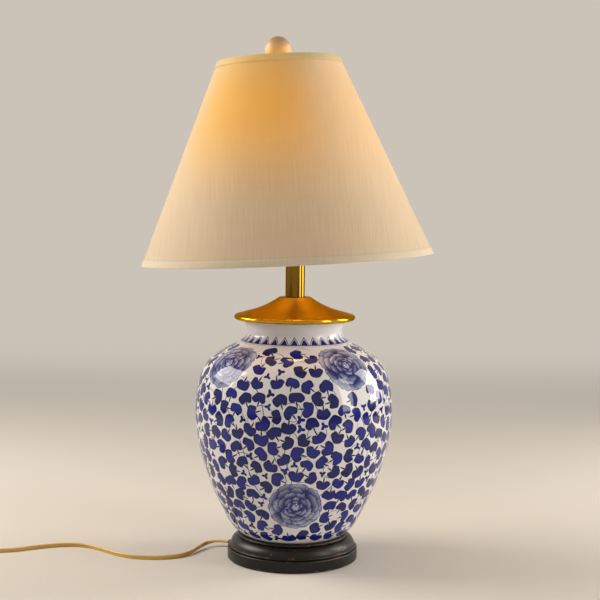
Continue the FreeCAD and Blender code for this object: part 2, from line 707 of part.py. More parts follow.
def terminal_stem(side):
    """A terminal's threaded stem, from the block's flat inwards."""
    flat = V(0, side * BLOCK_FLAT_Y, SHAFT_HEIGHT)
    return Part.makeCylinder(TERMINAL_STEM_R, BLOCK_FLAT_Y / 2, flat, AXIS_Y * -side)


def socket_block():
    body = disc(BLOCK_R, BLOCK_START, BLOCK_END)
    for side in (-1, 1):
        y_in, y_out = sorted([side * BLOCK_FLAT_Y, side * BLOCK_R])
        body = body.cut(block(-BLOCK_R, BLOCK_R, y_in, y_out, BLOCK_START, BLOCK_END))
        body = body.cut(terminal_stem(side))
    shaft_hole = radial_hole(SHAFT_R + RUNNING_FIT, SHAFT_HEIGHT, BLOCK_R + 1)
    return body.cut(shaft_hole.cut(disc(SHAFT_INNER_X - SEAT_GAP, 0, BLOCK_END)))


def terminal_screw(side):
    flat = V(0, side * BLOCK_FLAT_Y, SHAFT_HEIGHT)
    head = Part.makeCylinder(TERMINAL_HEAD_R, TERMINAL_HEAD_HEIGHT, flat, AXIS_Y * side)
    slot_floor = BLOCK_FLAT_Y + TERMINAL_HEAD_HEIGHT / 2
    y_in, y_out = sorted([side * slot_floor, side * (BLOCK_FLAT_Y + TERMINAL_HEAD_HEIGHT + 1)])
    slot = block(-TERMINAL_HEAD_R, TERMINAL_HEAD_R, y_in, y_out, SHAFT_HEIGHT - 0.4, SHAFT_HEIGHT + 0.4)
    return head.fuse(terminal_stem(side)).removeSplitter().cut(slot)


def screw_shell():
    inner = SCREW_SHELL_R - SCREW_SHELL_WALL
    hole_r = CONTACT_WIDTH + 1.5
    floor = BLOCK_END + SCREW_SHELL_WALL
    outline = [(hole_r, BLOCK_END), (SCREW_SHELL_R, BLOCK_END), (SCREW_SHELL_R, SCREW_SHELL_END)]
    outline += [(inner, SCREW_SHELL_END), (inner, floor), (hole_r, floor)]
    return turned_polygon(outline)


def centre_contact():
    half = CONTACT_WIDTH / 2
    top = BLOCK_END + CONTACT_RISE
    foot = block(-CONTACT_WIDTH, half, -half, half, BLOCK_END, BLOCK_END + CONTACT_THICKNESS)
    riser = block(half - CONTACT_THICKNESS, half, -half, half, BLOCK_END, top)
    tongue = block(-half, half, -half, half, top - CONTACT_THICKNESS, top)
    return foot.fuse([riser, tongue]).removeSplitter()


save(placed(socket_cap(), socket_frame), "socket_cap")
save(placed(set_screw(), socket_frame), "set_screw")
save(placed(socket_shell(), socket_frame), "socket_shell")
save(placed(paper_liner(), socket_frame), "paper_liner")
save(placed(socket_block(), socket_frame), "socket_block")
save(placed(Part.Compound([terminal_screw(-1), terminal_screw(1)]), socket_frame), "terminal_screws")
save(placed(screw_shell(), socket_frame), "screw_shell")
save(placed(centre_contact(), socket_frame), "centre_contact")


# ---- switch knob ---------------------------------------------------------------------------------

def switch_knob():
    """Tapered knob with ribs along it, on its shaft."""
    tip_x = KNOB_BASE_X + KNOB_LENGTH
    shaft = Part.makeCylinder(SHAFT_R, KNOB_BASE_X - SHAFT_INNER_X, V(SHAFT_INNER_X, 0, 0), AXIS_X)
    grip = Part.makeCone(KNOB_R, KNOB_TIP_R, KNOB_LENGTH, V(KNOB_BASE_X, 0, 0), AXIS_X)
    pieces = [grip]
    for k in range(KNOB_RIBS):
        turn = FreeCAD.Rotation(AXIS_X, 360.0 * k / KNOB_RIBS)
        near = turn.multVec(V(KNOB_BASE_X + 1, KNOB_R, 0))
        far = turn.multVec(V(tip_x - 1, KNOB_TIP_R, 0))
        pieces.append(Part.makeCylinder(KNOB_RIB_R, (far - near).Length, near, far - near))
    return shaft.fuse(pieces).removeSplitter()


save(placed(switch_knob(), FreeCAD.Placement(V(0, 0, SHAFT_Z), FreeCAD.Rotation())), "switch_knob")


# ---- bulb ----------------------------------------------------------------------------------------
# Made with its tip at height 0.

bulb_frame = FreeCAD.Placement(V(0, 0, BULB_TIP_Z), FreeCAD.Rotation())


def bulb_glass():
    """Thin shell: a sphere on a neck that meets the screw base, with an arc between them."""
    steep = math.radians(-28)
    edges = []
    for inset in (0, BULB_WALL):
        r = BULB_R - inset
        centre_z = BULB_LENGTH - BULB_R
        low = rz(BULB_BASE_R - inset, BULB_BASE_LENGTH)
        neck = rz(BULB_NECK_R - inset, BULB_BASE_LENGTH + 4)
        joint = rz(r * math.cos(steep), centre_z + r * math.sin(steep))
        mid_angle = (steep + math.pi / 2) / 2
        side = rz(r * math.cos(mid_angle), centre_z + r * math.sin(mid_angle))
        top = rz(0, centre_z + r)
        edges.append([line(low, neck), bulged(neck, joint, 1.2), arc(joint, side, top)])
    ends = [line(rz(0, BULB_LENGTH), rz(0, BULB_LENGTH - BULB_WALL)),
            line(rz(BULB_BASE_R - BULB_WALL, BULB_BASE_LENGTH), rz(BULB_BASE_R, BULB_BASE_LENGTH))]
    return turned(edges[0] + [ends[0]] + edges[1][::-1] + [ends[1]])


def bulb_screw_base():
    """Threaded shell, drawn in at its lower end round the tip's collar."""
    bore_r = BULB_COLLAR_R + RUNNING_FIT
    collar_top = BULB_TIP_HEIGHT + BULB_COLLAR_HEIGHT + SEAT_GAP
    inner_r = BULB_BASE_R - BULB_BASE_WALL
    outline = [(bore_r, BULB_TIP_HEIGHT), (BULB_BASE_R - BULB_BASE_TAPER, BULB_TIP_HEIGHT)]
    outline += [(BULB_BASE_R, BULB_TIP_HEIGHT + BULB_BASE_TAPER), (BULB_BASE_R, BULB_BASE_LENGTH)]
    outline += [(inner_r, BULB_BASE_LENGTH), (inner_r, collar_top), (bore_r, collar_top)]
    return turned_polygon(outline)


def bulb_tip():
    """Solder contact under its insulating collar."""
    contact = Part.makeCone(BULB_CONTACT_R, BULB_TIP_R, BULB_TIP_HEIGHT, V(0, 0, 0))
    collar = disc(BULB_COLLAR_R, BULB_TIP_HEIGHT, BULB_TIP_HEIGHT + BULB_COLLAR_HEIGHT)
    return contact.fuse(collar).removeSplitter()


save(placed(bulb_glass(), bulb_frame), "bulb_glass")
save(placed(bulb_screw_base(), bulb_frame), "bulb_screw_base")
save(placed(bulb_tip(), bulb_frame), "bulb_tip")


# ---- cord inside the lamp ------------------------------------------------------------------------

def cord_bushing():
    """Sleeve in the wooden base with a flange outside and a tapered nose, made along +X."""
    bore = CORD_R + BUSHING_FIT
    flange_x = BASE_R + BUSHING_FLANGE
    nose_x = flange_x + NOSE_LENGTH
    outline = [(bore, BASE_R - BUSHING_DEPTH), (BUSHING_R, BASE_R - BUSHING_DEPTH), (BUSHING_R, BASE_R - 1)]
    outline += [(BUSHING_FLANGE_R, BASE_R - 1), (BUSHING_FLANGE_R, flange_x)]
    outline += [(BUSHING_FLANGE_R - 1, flange_x), (NOSE_TIP_R, nose_x), (bore, nose_x)]
    along_x = FreeCAD.Placement(V(0, 0, 0), FreeCAD.Rotation(AXIS_Y, 90))
    return placed(placed(turned_polygon(outline), along_x), cord_frame).cut(base)


def inner_cord():
    """From the bushing's nose through the base and up the rod, then one lead to each terminal."""
    exit_x = BASE_R + BUSHING_FLANGE + NOSE_LENGTH
    split_z = ROD_TOP + 2
    start = cord_frame.multVec(V(exit_x, 0, 0))
    path = rounded_path([start, V(0, 0, CORD_HEIGHT), V(0, 0, split_z)], [INNER_BEND])
    leads = [swept(path, CORD_R)]
    screw_z = SADDLE_TOP + SHAFT_HEIGHT
    for side in (-1, 1):
        lead_y = side * (BLOCK_FLAT_Y + LEAD_R + ASSEMBLY_FIT)
        route = [V(0, side * LEAD_R * 1.2, split_z), V(0, side * LEAD_R * 1.2, split_z + 4),
                 V(0, lead_y, split_z + 9), V(0, lead_y, screw_z - TERMINAL_HEAD_R - ASSEMBLY_FIT)]
        leads.append(swept(rounded_path(route, widest_radii(route)), LEAD_R))
    return Part.Compound(leads)


save(cord_bushing(), "cord_bushing")
save(inner_cord(), "inner_cord")


# ---- free cord -----------------------------------------------------------------------------------
# The route lies on the table. Its points are chosen by hand; the coil's turns are worked out below.

CORD_EXIT = cord_frame.multVec(V(BASE_R + BUSHING_FLANGE + NOSE_LENGTH, 0, 0))
FIRST_POINT = cord_frame.multVec(V(BASE_R + BUSHING_FLANGE + NOSE_LENGTH + FIRST_RUN, 0, 0))
ROUTE = [
    FIRST_POINT, V(-123.5, 43.5, 6.2), V(-133.5, 26.0, 4.6), V(-142.5, 3.0, 3.2),
    V(-156.0, -15.0, CORD_R), V(-176.0, -25.5, CORD_R), V(-201.0, -29.0, CORD_R), V(-228.0, -24.5, CORD_R),
    V(-251.0, -8.0, CORD_R), V(-274.0, 14.0, CORD_R), V(-298.0, 32.0, CORD_R), V(-324.0, 36.5, CORD_R),
    V(-349.0, 29.0, CORD_R), V(-371.0, 19.0, CORD_R), V(-393.0, 4.5, CORD_R), V(-419.0, -1.5, CORD_R),
    V(-446.0, -3.5, CORD_R),
]
COIL_START = V(COIL_X + 2 * CORD_R, COIL_Y + COIL_OUTER_R, CORD_R)


def cord_run():
    points = [CORD_EXIT] + ROUTE + [COIL_START]
    radii = widest_radii(points)
    print("  cord radii", [round(r, 1) for r in radii])
    return swept(rounded_path(points, radii), CORD_R)


def coil_path():
    """Half turns that spiral in on the lower layer, climb in one half turn and spiral out above."""
    edges = [line(COIL_START, V(COIL_X, COIL_START.y, CORD_R))]
    y = COIL_START.y
    z = CORD_R
    side = 1
    widths = [2 * COIL_OUTER_R - COIL_PITCH * k for k in range(COIL_HALF_TURNS + 1)]
    widths += widths[-2::-1]
    for k, across in enumerate(widths):
        next_z = z + (COIL_LAYERS_APART if k == COIL_HALF_TURNS else 0)
        begin = V(COIL_X, y, z)
        end = V(COIL_X, y - side * across, next_z)
        edges += biarc(begin, AXIS_X * -side, end, AXIS_X * side)
        y = end.y
        z = next_z
        side = -side
    return edges, V(COIL_X, y, z), AXIS_X * -side


def least_gap(edges, radius):
    """Least gap between stretches of the tube that aren't neighbours, from points on its centre line."""
    spacing = 3.0
    points = []
    for edge in edges:
        points += edge.discretize(Number=max(2, int(edge.Length / spacing)))[:-1]
    least = 1e9
    skip = int(8 * radius / spacing)
    for k, a in enumerate(points):
        for b in points[k + skip:]:
            least = min(least, a.distanceToPoint(b))
    return least - 2 * radius


coil_edges, coil_end, coil_way = coil_path()
tail_start = coil_end + coil_way * TAIL_STRAIGHT
tail_end = tail_start + coil_way * TAIL_LENGTH + V(0, 0, PLUG_THICKNESS / 2 - tail_start.z)
plug_seat = tail_end + coil_way * 2 * CORD_R
coil_edges.append(line(coil_end, tail_start))
coil_edges += biarc(tail_start, coil_way, tail_end, coil_way)
coil_edges.append(line(tail_end, plug_seat))
print("  coil's least gap to itself", round(least_gap(coil_edges, CORD_R), 2), "mm")
save(cord_run(), "cord_run")
save(swept(Part.Wire(coil_edges), CORD_R), "cord_coil")


# ---- plug ----------------------------------------------------------------------------------------
# Two-blade polarised plug, lying on its wide side. It is made with the cord's end at the origin and the
# blades towards +X.

plug_frame = FreeCAD.Placement(plug_seat, FreeCAD.Rotation(AXIS_X, coil_way))


def rounded_section(x, width, thickness, rounding):
    """Rectangle with rounded corners across X."""
    half_y = width / 2
    half_z = thickness / 2
    corners = [V(x, -half_y, -half_z), V(x, half_y, -half_z), V(x, half_y, half_z), V(x, -half_y, half_z)]
    edges = []
    for before, corner, after in zip(corners[-1:] + corners[:-1], corners, corners[1:] + corners[:1]):
        way_in = (corner - before).normalize()
        way_out = (after - corner).normalize()
        begin = corner - way_in * rounding
        end = corner + way_out * rounding
        middle = corner + (way_out - way_in) * rounding * (1 - math.sqrt(0.5))
        edges += [arc(begin, middle, end)]
    joined = []
    for first, second in zip(edges, edges[1:] + edges[:1]):
        joined += [first, line(first.valueAt(first.LastParameter), second.valueAt(second.FirstParameter))]
    return Part.Wire(joined)


def plug_body():
    nose = rounded_section(0, PLUG_NOSE_WIDTH, PLUG_THICKNESS * 0.66, PLUG_ROUNDING)
    shoulder = rounded_section(PLUG_LENGTH * 0.4, PLUG_WIDTH, PLUG_THICKNESS, PLUG_ROUNDING)
    face = rounded_section(PLUG_LENGTH, PLUG_WIDTH, PLUG_THICKNESS, PLUG_ROUNDING)
    front = Part.makeLoft([nose, shoulder], True, True)
    body = front.fuse(Part.makeLoft([shoulder, face], True, True)).removeSplitter()
    return body.cut([plug_blade(-1), plug_blade(1)])


def plug_blade(side):
    width = BLADE_NARROW if side > 0 else BLADE_WIDE
    y = side * BLADE_SPACING / 2
    half = BLADE_THICKNESS / 2
    tip = PLUG_LENGTH + BLADE_LENGTH
    blade = block(PLUG_LENGTH - BLADE_ROOT, tip, y - half, y + half, -width / 2, width / 2)
    hole_start = V(tip - BLADE_HOLE_BACK, y - BLADE_THICKNESS, 0)
    hole = Part.makeCylinder(BLADE_HOLE_R, 2 * BLADE_THICKNESS, hole_start, AXIS_Y)
    return blade.cut(hole)


save(placed(plug_body(), plug_frame), "plug_body")
save(placed(Part.Compound([plug_blade(-1), plug_blade(1)]), plug_frame), "plug_blades")
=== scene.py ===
# %% [markdown]
# # A ginger jar lamp, dressed for a picture
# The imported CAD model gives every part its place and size. This file gives the parts their looks: glazed
# and painted porcelain, lacquered wood, brushed brass, linen, and a clear gold flex. It starts by loading
# the frame, because each new piece is worked out in the frame's own coordinates, in metres, with +Z up
# and the viewer at -Y.

# %% Load the frame
import math

import bpy
import numpy as np
from mathutils import Matrix, Vector
from mathutils.geometry import delaunay_2d_cdt


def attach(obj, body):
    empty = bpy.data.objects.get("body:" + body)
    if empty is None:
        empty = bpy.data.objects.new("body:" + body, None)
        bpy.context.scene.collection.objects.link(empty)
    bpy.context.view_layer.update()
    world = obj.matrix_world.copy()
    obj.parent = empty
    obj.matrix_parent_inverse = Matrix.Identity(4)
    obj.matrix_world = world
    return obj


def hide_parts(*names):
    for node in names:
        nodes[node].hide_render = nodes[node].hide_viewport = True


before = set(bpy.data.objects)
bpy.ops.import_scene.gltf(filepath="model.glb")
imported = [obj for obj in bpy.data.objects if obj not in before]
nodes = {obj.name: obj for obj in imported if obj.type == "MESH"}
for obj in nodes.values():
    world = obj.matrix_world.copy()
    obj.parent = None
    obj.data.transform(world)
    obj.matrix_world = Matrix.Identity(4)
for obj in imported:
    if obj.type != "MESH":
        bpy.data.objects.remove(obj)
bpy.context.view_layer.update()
MM = 0.001


def put(name, data):
    """An object over the data, linked to the scene."""
    thing = bpy.data.objects.new(name, data)
    bpy.context.scene.collection.objects.link(thing)
    return thing


# %% [markdown]
# ## The camera
# A long lens, a little above the middle of the lamp, looks 4.5 degrees down. The lamp leans by about half
# a degree in the picture, so the camera is rolled instead of the lamp. The camera's three axes are
# written as vectors, which says plainly where it looks and is easier to check than three turns in a row.

# %% Camera
CAMERA_PLACE = Vector((0.00704, -1.814, 0.5062))
PITCH, ROLL = math.radians(4.46), math.radians(0.65)
LENS_MM, SENSOR_MM = 78, 36


def make_camera():
    """Columns of the turn are right, up and back; roll mixes level right with the tilted up."""
    ahead = Vector((0, math.cos(PITCH), -math.sin(PITCH)))
    level, tilted = Vector((1, 0, 0)), Vector((0, math.sin(PITCH), math.cos(PITCH)))
    right = math.cos(ROLL) * level + math.sin(ROLL) * tilted
    up = -math.sin(ROLL) * level + math.cos(ROLL) * tilted
    lens = bpy.data.cameras.new("camera")
    lens.lens, lens.sensor_width = LENS_MM, SENSOR_MM
    camera = put("camera", lens)
    camera.matrix_world = Matrix.Translation(CAMERA_PLACE) @ Matrix((right, up, -ahead)).transposed().to_4x4()
    bpy.context.scene.camera = camera
    return camera


make_camera()

# %% [markdown]
# ## Tools for surfaces
# Every new piece is a surface over two parameters, worked out as one array of points. A grid of points
# becomes quads, points that fall on each other at seams and poles are welded, and a UV map in metres
# rides along where a pattern has to follow the surface.

# %% Surfaces from arrays
AXIS = np.array([0.0, 0.0, 1.0])


def weld(points, grain=2e-5):
    """Points that round to the same cell of the given grain become one. Returns the first of each cell
    and the cell that each point went to."""
    _, first, where = np.unique(np.round(points / grain).astype(np.int64), axis=0,
                                return_index=True, return_inverse=True)
    return first, where.reshape(-1)


def make_piece(name, points, faces, body, uv=None, stands_for=()):
    """A smooth mesh object that rides on a body. uv has one pair per vertex and goes to the faces' corners.
    stands_for names the CAD nodes that it replaces, which it hides."""
    mesh = bpy.data.meshes.new(name)
    first, where = weld(points)
    faces = np.asarray(faces)
    welded = where[faces]
    corners = [[(p, q) for k, (p, q) in enumerate(zip(new, old)) if p != new[k - 1]]
               for new, old in zip(welded.tolist(), faces.tolist())]
    corners = [face for face in corners if len(face) > 2]
    mesh.from_pydata(points[first].tolist(), [], [[p for p, _ in face] for face in corners])
    if uv is not None:
        source = [q for face in corners for _, q in face]
        flat = np.asarray(uv)[source].astype(np.float32)
        mesh.uv_layers.new(name="weave").data.foreach_set("uv", flat.ravel())
    mesh.polygons.foreach_set("use_smooth", [True] * len(mesh.polygons))
    mesh.update()
    piece = put(name, mesh)
    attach(piece, body)
    if stands_for:
        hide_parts(*stands_for)
    print("made", name, "with", len(mesh.polygons), "faces")
    return piece


def quads(rows, columns):
    """Corner numbers of the quads over a grid of rows by columns points."""
    number = np.arange(rows * columns).reshape(rows, columns)
    return np.stack([number[:-1, :-1], number[:-1, 1:], number[1:, 1:], number[1:, :-1]], -1).reshape(-1, 4)


def turned_points(profile, around, origin=(0, 0, 0), axis=(0, 0, 1)):
    """Point = origin + radius (cos a E1 + sin a E2) + height AXIS, for each profile pair and angle a."""
    axis = np.array(axis, float)
    east = np.array([axis[2], 0.0, -axis[0]])
    north = np.cross(axis, east)
    profile = np.asarray(profile, float)
    spoke = np.cos(around)[:, None] * east + np.sin(around)[:, None] * north
    points = profile[:, 0][:, None, None] * spoke + profile[:, 1][:, None, None] * axis
    return points.reshape(-1, 3) + np.array(origin, float)


def circle(count):
    """Angles of a full turn, the first one again at the end."""
    return np.linspace(0, 2 * np.pi, count + 1)


def polar(reach, angle):
    """The flat point reach (cos angle, sin angle)."""
    return np.stack([reach * np.cos(angle), reach * np.sin(angle)], -1)


def turned(x, y, angle):
    """The flat points (x, y) turned by the angle about the origin."""
    return np.stack([x * np.cos(angle) - y * np.sin(angle), x * np.sin(angle) + y * np.cos(angle)], -1)


# %% [markdown]
# ## The flex
# A lamp flex is a twin lead: two round cores side by side in clear gold plastic, 5.6 mm wide and 2.8 mm
# thick, with a groove where they meet. It leaves the back left of the base, drops to the table, and lies
# in slow curves. It stands on its narrow edge for most of the way, as stiff twin lead does. The part that
# the picture doesn't show is wound into a flat coil of two layers and ends in its plug. The route is one
# NURBS spline; the coil's turns are more points of the same spline, sixteen a turn.

# %% The flex's route
CORD_EXIT = (-0.09208, 0.04294, 0.0075)
ON_TABLE = 0.0028
route = [CORD_EXIT, (-0.10749, 0.05012, 0.0075), (-0.1235, 0.0435, 0.0062), (-0.1335, 0.026, 0.0046),
         (-0.1425, 0.003, 0.0032), (-0.156, -0.015, ON_TABLE), (-0.176, -0.0255, ON_TABLE),
         (-0.201, -0.029, ON_TABLE), (-0.228, -0.0245, ON_TABLE), (-0.251, -0.008, ON_TABLE),
         (-0.274, 0.014, ON_TABLE), (-0.298, 0.032, ON_TABLE), (-0.324, 0.0365, ON_TABLE),
         (-0.349, 0.029, ON_TABLE), (-0.371, 0.019, ON_TABLE), (-0.393, 0.0045, ON_TABLE),
         (-0.419, -0.0015, ON_TABLE), (-0.446, -0.0035, ON_TABLE), (-0.4744, -0.0035, ON_TABLE)]
WIDEST, COIL_PITCH, TURNS_IN = 83.0, 6.2, 6
HALF_TURNS = np.array([WIDEST - COIL_PITCH * min(k, 2 * TURNS_IN - k) for k in range(2 * TURNS_IN + 1)]) * MM
PER_HALF_TURN = 8
COIL_X, COIL_Y = -0.480, -0.045
LAYER_RISE = 0.0061
plug_end = [(-0.4735, -0.0865, 0.0089), (-0.4655, -0.0865, 0.0086), (-0.460, -0.0865, 0.0073),
            (-0.4524, -0.0865, 0.0072)]


def coil_points():
    """The point at angle a of a half turn is its centre + width / 2 (cos a, sin a). Odd half turns' centres
    step aside by half a pitch, inwards below and outwards above. The middle one climbs a layer."""
    step = np.arange(len(HALF_TURNS) * PER_HALF_TURN)
    half = step // PER_HALF_TURN
    share = (step % PER_HALF_TURN + 0.5) / PER_HALF_TURN
    angle = np.pi * (0.5 + half + share)
    reach = HALF_TURNS[half] / 2 / math.cos(np.pi / 2 / PER_HALF_TURN)
    half_pitch = COIL_PITCH / 2 * MM
    aside = np.where(half % 2 == 0, 0.0, np.where(half < TURNS_IN, -half_pitch, half_pitch))
    climb = np.clip(half + share - TURNS_IN, 0, 1)
    height = ON_TABLE + LAYER_RISE * climb ** 2 * (3 - 2 * climb)
    return np.stack([COIL_X + reach * np.cos(angle), COIL_Y + aside + reach * np.sin(angle), height], -1)


def spline_through(control):
    """The points that a NURBS spline of order 3 over these control points runs through."""
    curve = bpy.data.curves.new("flex_route", "CURVE")
    curve.dimensions = "3D"
    spline = curve.splines.new("NURBS")
    spline.points.add(len(control) - 1)
    spline.points.foreach_set("co", np.c_[control, np.ones(len(control))].ravel())
    spline.order_u = 3
    spline.use_endpoint_u = True
    spline.resolution_u = 9
    holder = put("flex_route", curve)
    line = bpy.data.meshes.new_from_object(holder)
    points = np.empty(len(line.vertices) * 3)
    line.vertices.foreach_get("co", points)
    bpy.data.objects.remove(holder)
    return points.reshape(-1, 3)


flex_line = spline_through(np.concatenate([route, coil_points(), plug_end]))
flex_steps = np.linalg.norm(np.diff(flex_line, axis=0), axis=1)
flex_run = np.concatenate([[0], np.cumsum(flex_steps)])
print("flex:", len(flex_line), "points,", round(flex_run[-1], 3), "m")

# %% The flex's jacket
LOBE, WEB = 0.0014, 0.0004
FLAT_START, TWIST_IN = 0.018, 0.035
FLAT_END, TWIST_OUT = 0.006, 0.026
SWAY, SWAY_LENGTH, SWAY_END = 0.10, 0.031, 0.42
FLEX_GIRTH = 0.0145
jacket_turn = circle(20)[:-1]
jacket_across = 2 * LOBE * np.cos(jacket_turn)
round_lobes = np.sqrt(np.maximum(LOBE ** 2 - (np.abs(jacket_across) - LOBE) ** 2, 0))
thin_web = WEB * np.abs(np.sin(jacket_turn)) ** 0.3
jacket_up = np.sign(np.sin(jacket_turn)) * np.maximum(round_lobes, thin_web)


def flex_surface():
    """Point = line + across(b) W + up(b) N, where W and N turn about the line. W is level at both ends of
    the flex and upright between, with an ease in and out that shows as the twist near the base. It sways
    a little where the flex is seen."""
    way = np.gradient(flex_line, axis=0)
    way /= np.linalg.norm(way, axis=1)[:, None]
    level = np.cross(way, AXIS)
    level /= np.linalg.norm(level, axis=1)[:, None]
    raised = np.cross(level, way)
    rise = np.clip((flex_run - FLAT_START) / TWIST_IN, 0, 1)
    fall = np.clip((flex_run[-1] - FLAT_END - flex_run) / TWIST_OUT, 0, 1)
    turn = np.pi / 2 * rise ** 2 * (3 - 2 * rise) * fall ** 2 * (3 - 2 * fall)
    turn += SWAY * np.sin(flex_run / SWAY_LENGTH) * rise * fall * (flex_run < SWAY_END)
    wide = np.cos(turn)[:, None] * level + np.sin(turn)[:, None] * raised
    thin = np.cross(wide, way)
    points = (flex_line[:, None] + jacket_across[None, :, None] * wide[:, None]
              + jacket_up[None, :, None] * thin[:, None])
    points = np.concatenate([points, points[:, :1]], 1)
    ends = [np.repeat(flex_line[k][None, None], points.shape[1], 1) for k in (0, -1)]
    return np.concatenate([ends[0], points, ends[1]], 0)


flex_grid = flex_surface()
rows, columns = flex_grid.shape[:2]
run = np.concatenate([[0], flex_run, flex_run[-1:]])
flex_uv = np.stack(np.meshgrid(run, np.linspace(0, FLEX_GIRTH, columns), indexing="ij"), -1).reshape(-1, 2)
flex = make_piece("flex", flex_grid.reshape(-1, 3), quads(rows, columns)[:, ::-1], "root", flex_uv,
                  stands_for=("cord_run", "cord_coil"))

# %% [markdown]
# ## The jar's outline
# The jar is thrown and turned, so it is a profile carried round the axis. A smooth curve through the
# measured points gives the profile. Everything that is painted on the jar is laid out on a flat chart of
# that surface: the angle goes across and the length along the profile goes up, as a painter would unroll
# it.

# %% Jar profile
JAR_FOOT_Z = 36.3
outline_points = np.array([(71.5, 0), (80.2, 6), (88.3, 15), (98.9, 34), (113, 63), (127, 102), (135.6, 138),
                           (138.3, 169), (137, 196), (131.6, 222), (121.4, 242), (105.6, 255.5), (88, 265.5),
                           (73.4, 274), (66.5, 283), (69, 294), (72, 309.8)], float)


def smooth_through(points, per_span=24):
    """A natural cubic spline: each span is a cubic of the chord length, and both slope and bend agree
    where two spans meet."""
    chord = np.concatenate([[0], np.cumsum(np.linalg.norm(np.diff(points, axis=0), axis=1))])
    gap = np.diff(chord)
    count = len(points)
    system, right = np.eye(count), np.zeros((count, 2))
    inner = np.arange(1, count - 1)
    system[inner, inner - 1], system[inner, inner + 1] = gap[:-1], gap[1:]
    system[inner, inner] = 2 * (gap[:-1] + gap[1:])
    slope = np.diff(points, axis=0) / gap[:, None]
    right[1:-1] = 6 * np.diff(slope, axis=0)
    bend = np.linalg.solve(system, right)
    t = np.linspace(0, 1, per_span, endpoint=False)[None, :, None]
    a, b, h = points[:-1, None], points[1:, None], gap[:, None, None]
    curve = (a * (1 - t) + b * t + h ** 2 / 6 * (((1 - t) ** 3 - (1 - t)) * bend[:-1, None]
                                                 + (t ** 3 - t) * bend[1:, None]))
    return np.concatenate([curve.reshape(-1, 2), points[-1:]])


jar_curve = smooth_through(outline_points) + [0, JAR_FOOT_Z]
jar_rise = np.concatenate([[0], np.cumsum(np.linalg.norm(np.diff(jar_curve, axis=0), axis=1))])
JAR_LENGTH = jar_rise[-1]
jar_slope = np.gradient(jar_curve, jar_rise, axis=0)


def jar_radius(s):
    """Radius in mm at the length s along the profile."""
    return np.interp(s, jar_rise, jar_curve[:, 0])


def along_profile(z):
    """Length along the profile in mm at the height z. The profile only climbs, so this is one to one."""
    return np.interp(z, jar_curve[:, 1], jar_rise)


print("jar profile", round(JAR_LENGTH, 1), "mm long, widest", round(jar_curve[:, 0].max(), 1), "mm")

# %% [markdown]
# ## What is painted on the jar
# Cobalt blue under a clear glaze: thin curling vines, some four hundred and thirty bean-shaped leaves
# with a notch where the stalk meets them, eight peonies in two staggered rows, and a border of pointed
# petals at the neck. Each motif is a flat polygon in millimetres, laid on the chart in the order a
# painter would work, back to front. It also carries two inks and the way from one to the other, which is
# how a loaded brush shades a petal.

# %% Inks and the list of motifs
CHART = 100.0
CHART_WIDTH = 2 * np.pi * CHART
CHART_EDGE = 1.0


def linear(code):
    """An sRGB hex colour as linear: c / 12.92 below 0.04045, else ((c + 0.055) / 1.055)^2.4."""
    c = np.array([int(code[k:k + 2], 16) for k in (1, 3, 5)]) / 255
    return np.where(c <= 0.04045, c / 12.92, ((c + 0.055) / 1.055) ** 2.4)


GROUND = linear("#E3E2E6")
VINE = linear("#515A7E")
rng = np.random.default_rng(11)
motifs = []


def paint(angle, s, shape, ink, other=None, origin=(0, 0), toward=(0, 1)):
    """Lays a polygon, in mm about its middle, on the chart at (angle, s). A point x to the side goes to
    angle + x / radius there, so a motif keeps its size all the way up. The ink goes over to the other by
    share = (p - origin) . (toward - origin) / |toward - origin|^2, held between 0 and 1."""
    rise = np.clip(s + shape[:, 1], CHART_EDGE, JAR_LENGTH - CHART_EDGE)
    across = (angle - np.pi / 2) % (2 * np.pi) * CHART + shape[:, 0] * CHART / jar_radius(rise)
    placed = np.stack([across, rise], -1)
    following = np.roll(placed, -1, axis=0)
    if (placed[:, 0] * following[:, 1] - following[:, 0] * placed[:, 1]).sum() < 0:
        placed = placed[::-1]
    squeeze = jar_radius(s) / CHART
    origin, reach = np.array(origin, float), np.subtract(toward, origin)
    start = np.array([(angle - np.pi / 2) % (2 * np.pi) * CHART + origin[0] / squeeze, s + origin[1]])
    step = reach * [squeeze, 1.0] / (reach @ reach)
    for shift in (-CHART_WIDTH, 0, CHART_WIDTH):
        moved = placed + [shift, 0]
        if moved[:, 0].max() > 0 and moved[:, 0].min() < CHART_WIDTH:
            motifs.append((moved, start + [shift, 0], step, ink, ink if other is None else other))


def stroke(path, width):
    """A brush stroke: out along one side of the path and back along the other, thin at both ends."""
    way = np.gradient(path, axis=0)
    way /= np.linalg.norm(way, axis=1)[:, None]
    side = np.stack([-way[:, 1], way[:, 0]], -1)
    half = width / 2 * np.clip(np.sin(np.linspace(0.25, np.pi - 0.25, len(path)))[:, None] * 1.6, 0.3, 1)
    return np.concatenate([path + side * half, (path - side * half)[::-1]])


# %% [markdown]
# ### Where the leaves go
# Leaves are spread as they are by eye, evenly but not in rows. They start anywhere and push each other
# apart for a while, each with its own room. The flowers are large and don't move.

# %% Spread the leaves
FLOWER_R = 39.0
flower_angle = np.radians([-139, -53, 36, 127, -88, 2, 92, 182])
flower_s = along_profile(np.array([284, 285, 284, 285, 97, 99, 96, 98.0]))
LEAF_ROOM, SPRIG_ROOM, CURL_ROOM = 10.3, 6.4, 21.0
TRIES, SPOTS, CURLS = 640, 545, 62
SPRIG_SHARE, WIDEST_R = 0.15, 140
LOW_S, HIGH_S = along_profile(44.0) + 4, along_profile(303.0) - 3


def scatter(count):
    """Random spots, kept with a chance that grows with the girth, so that they are as dense everywhere."""
    spots = np.stack([rng.uniform(0, 2 * np.pi, 4 * count), rng.uniform(LOW_S, HIGH_S, 4 * count)], -1)
    return spots[rng.random(4 * count) < jar_radius(spots[:, 1]) / WIDEST_R][:count]


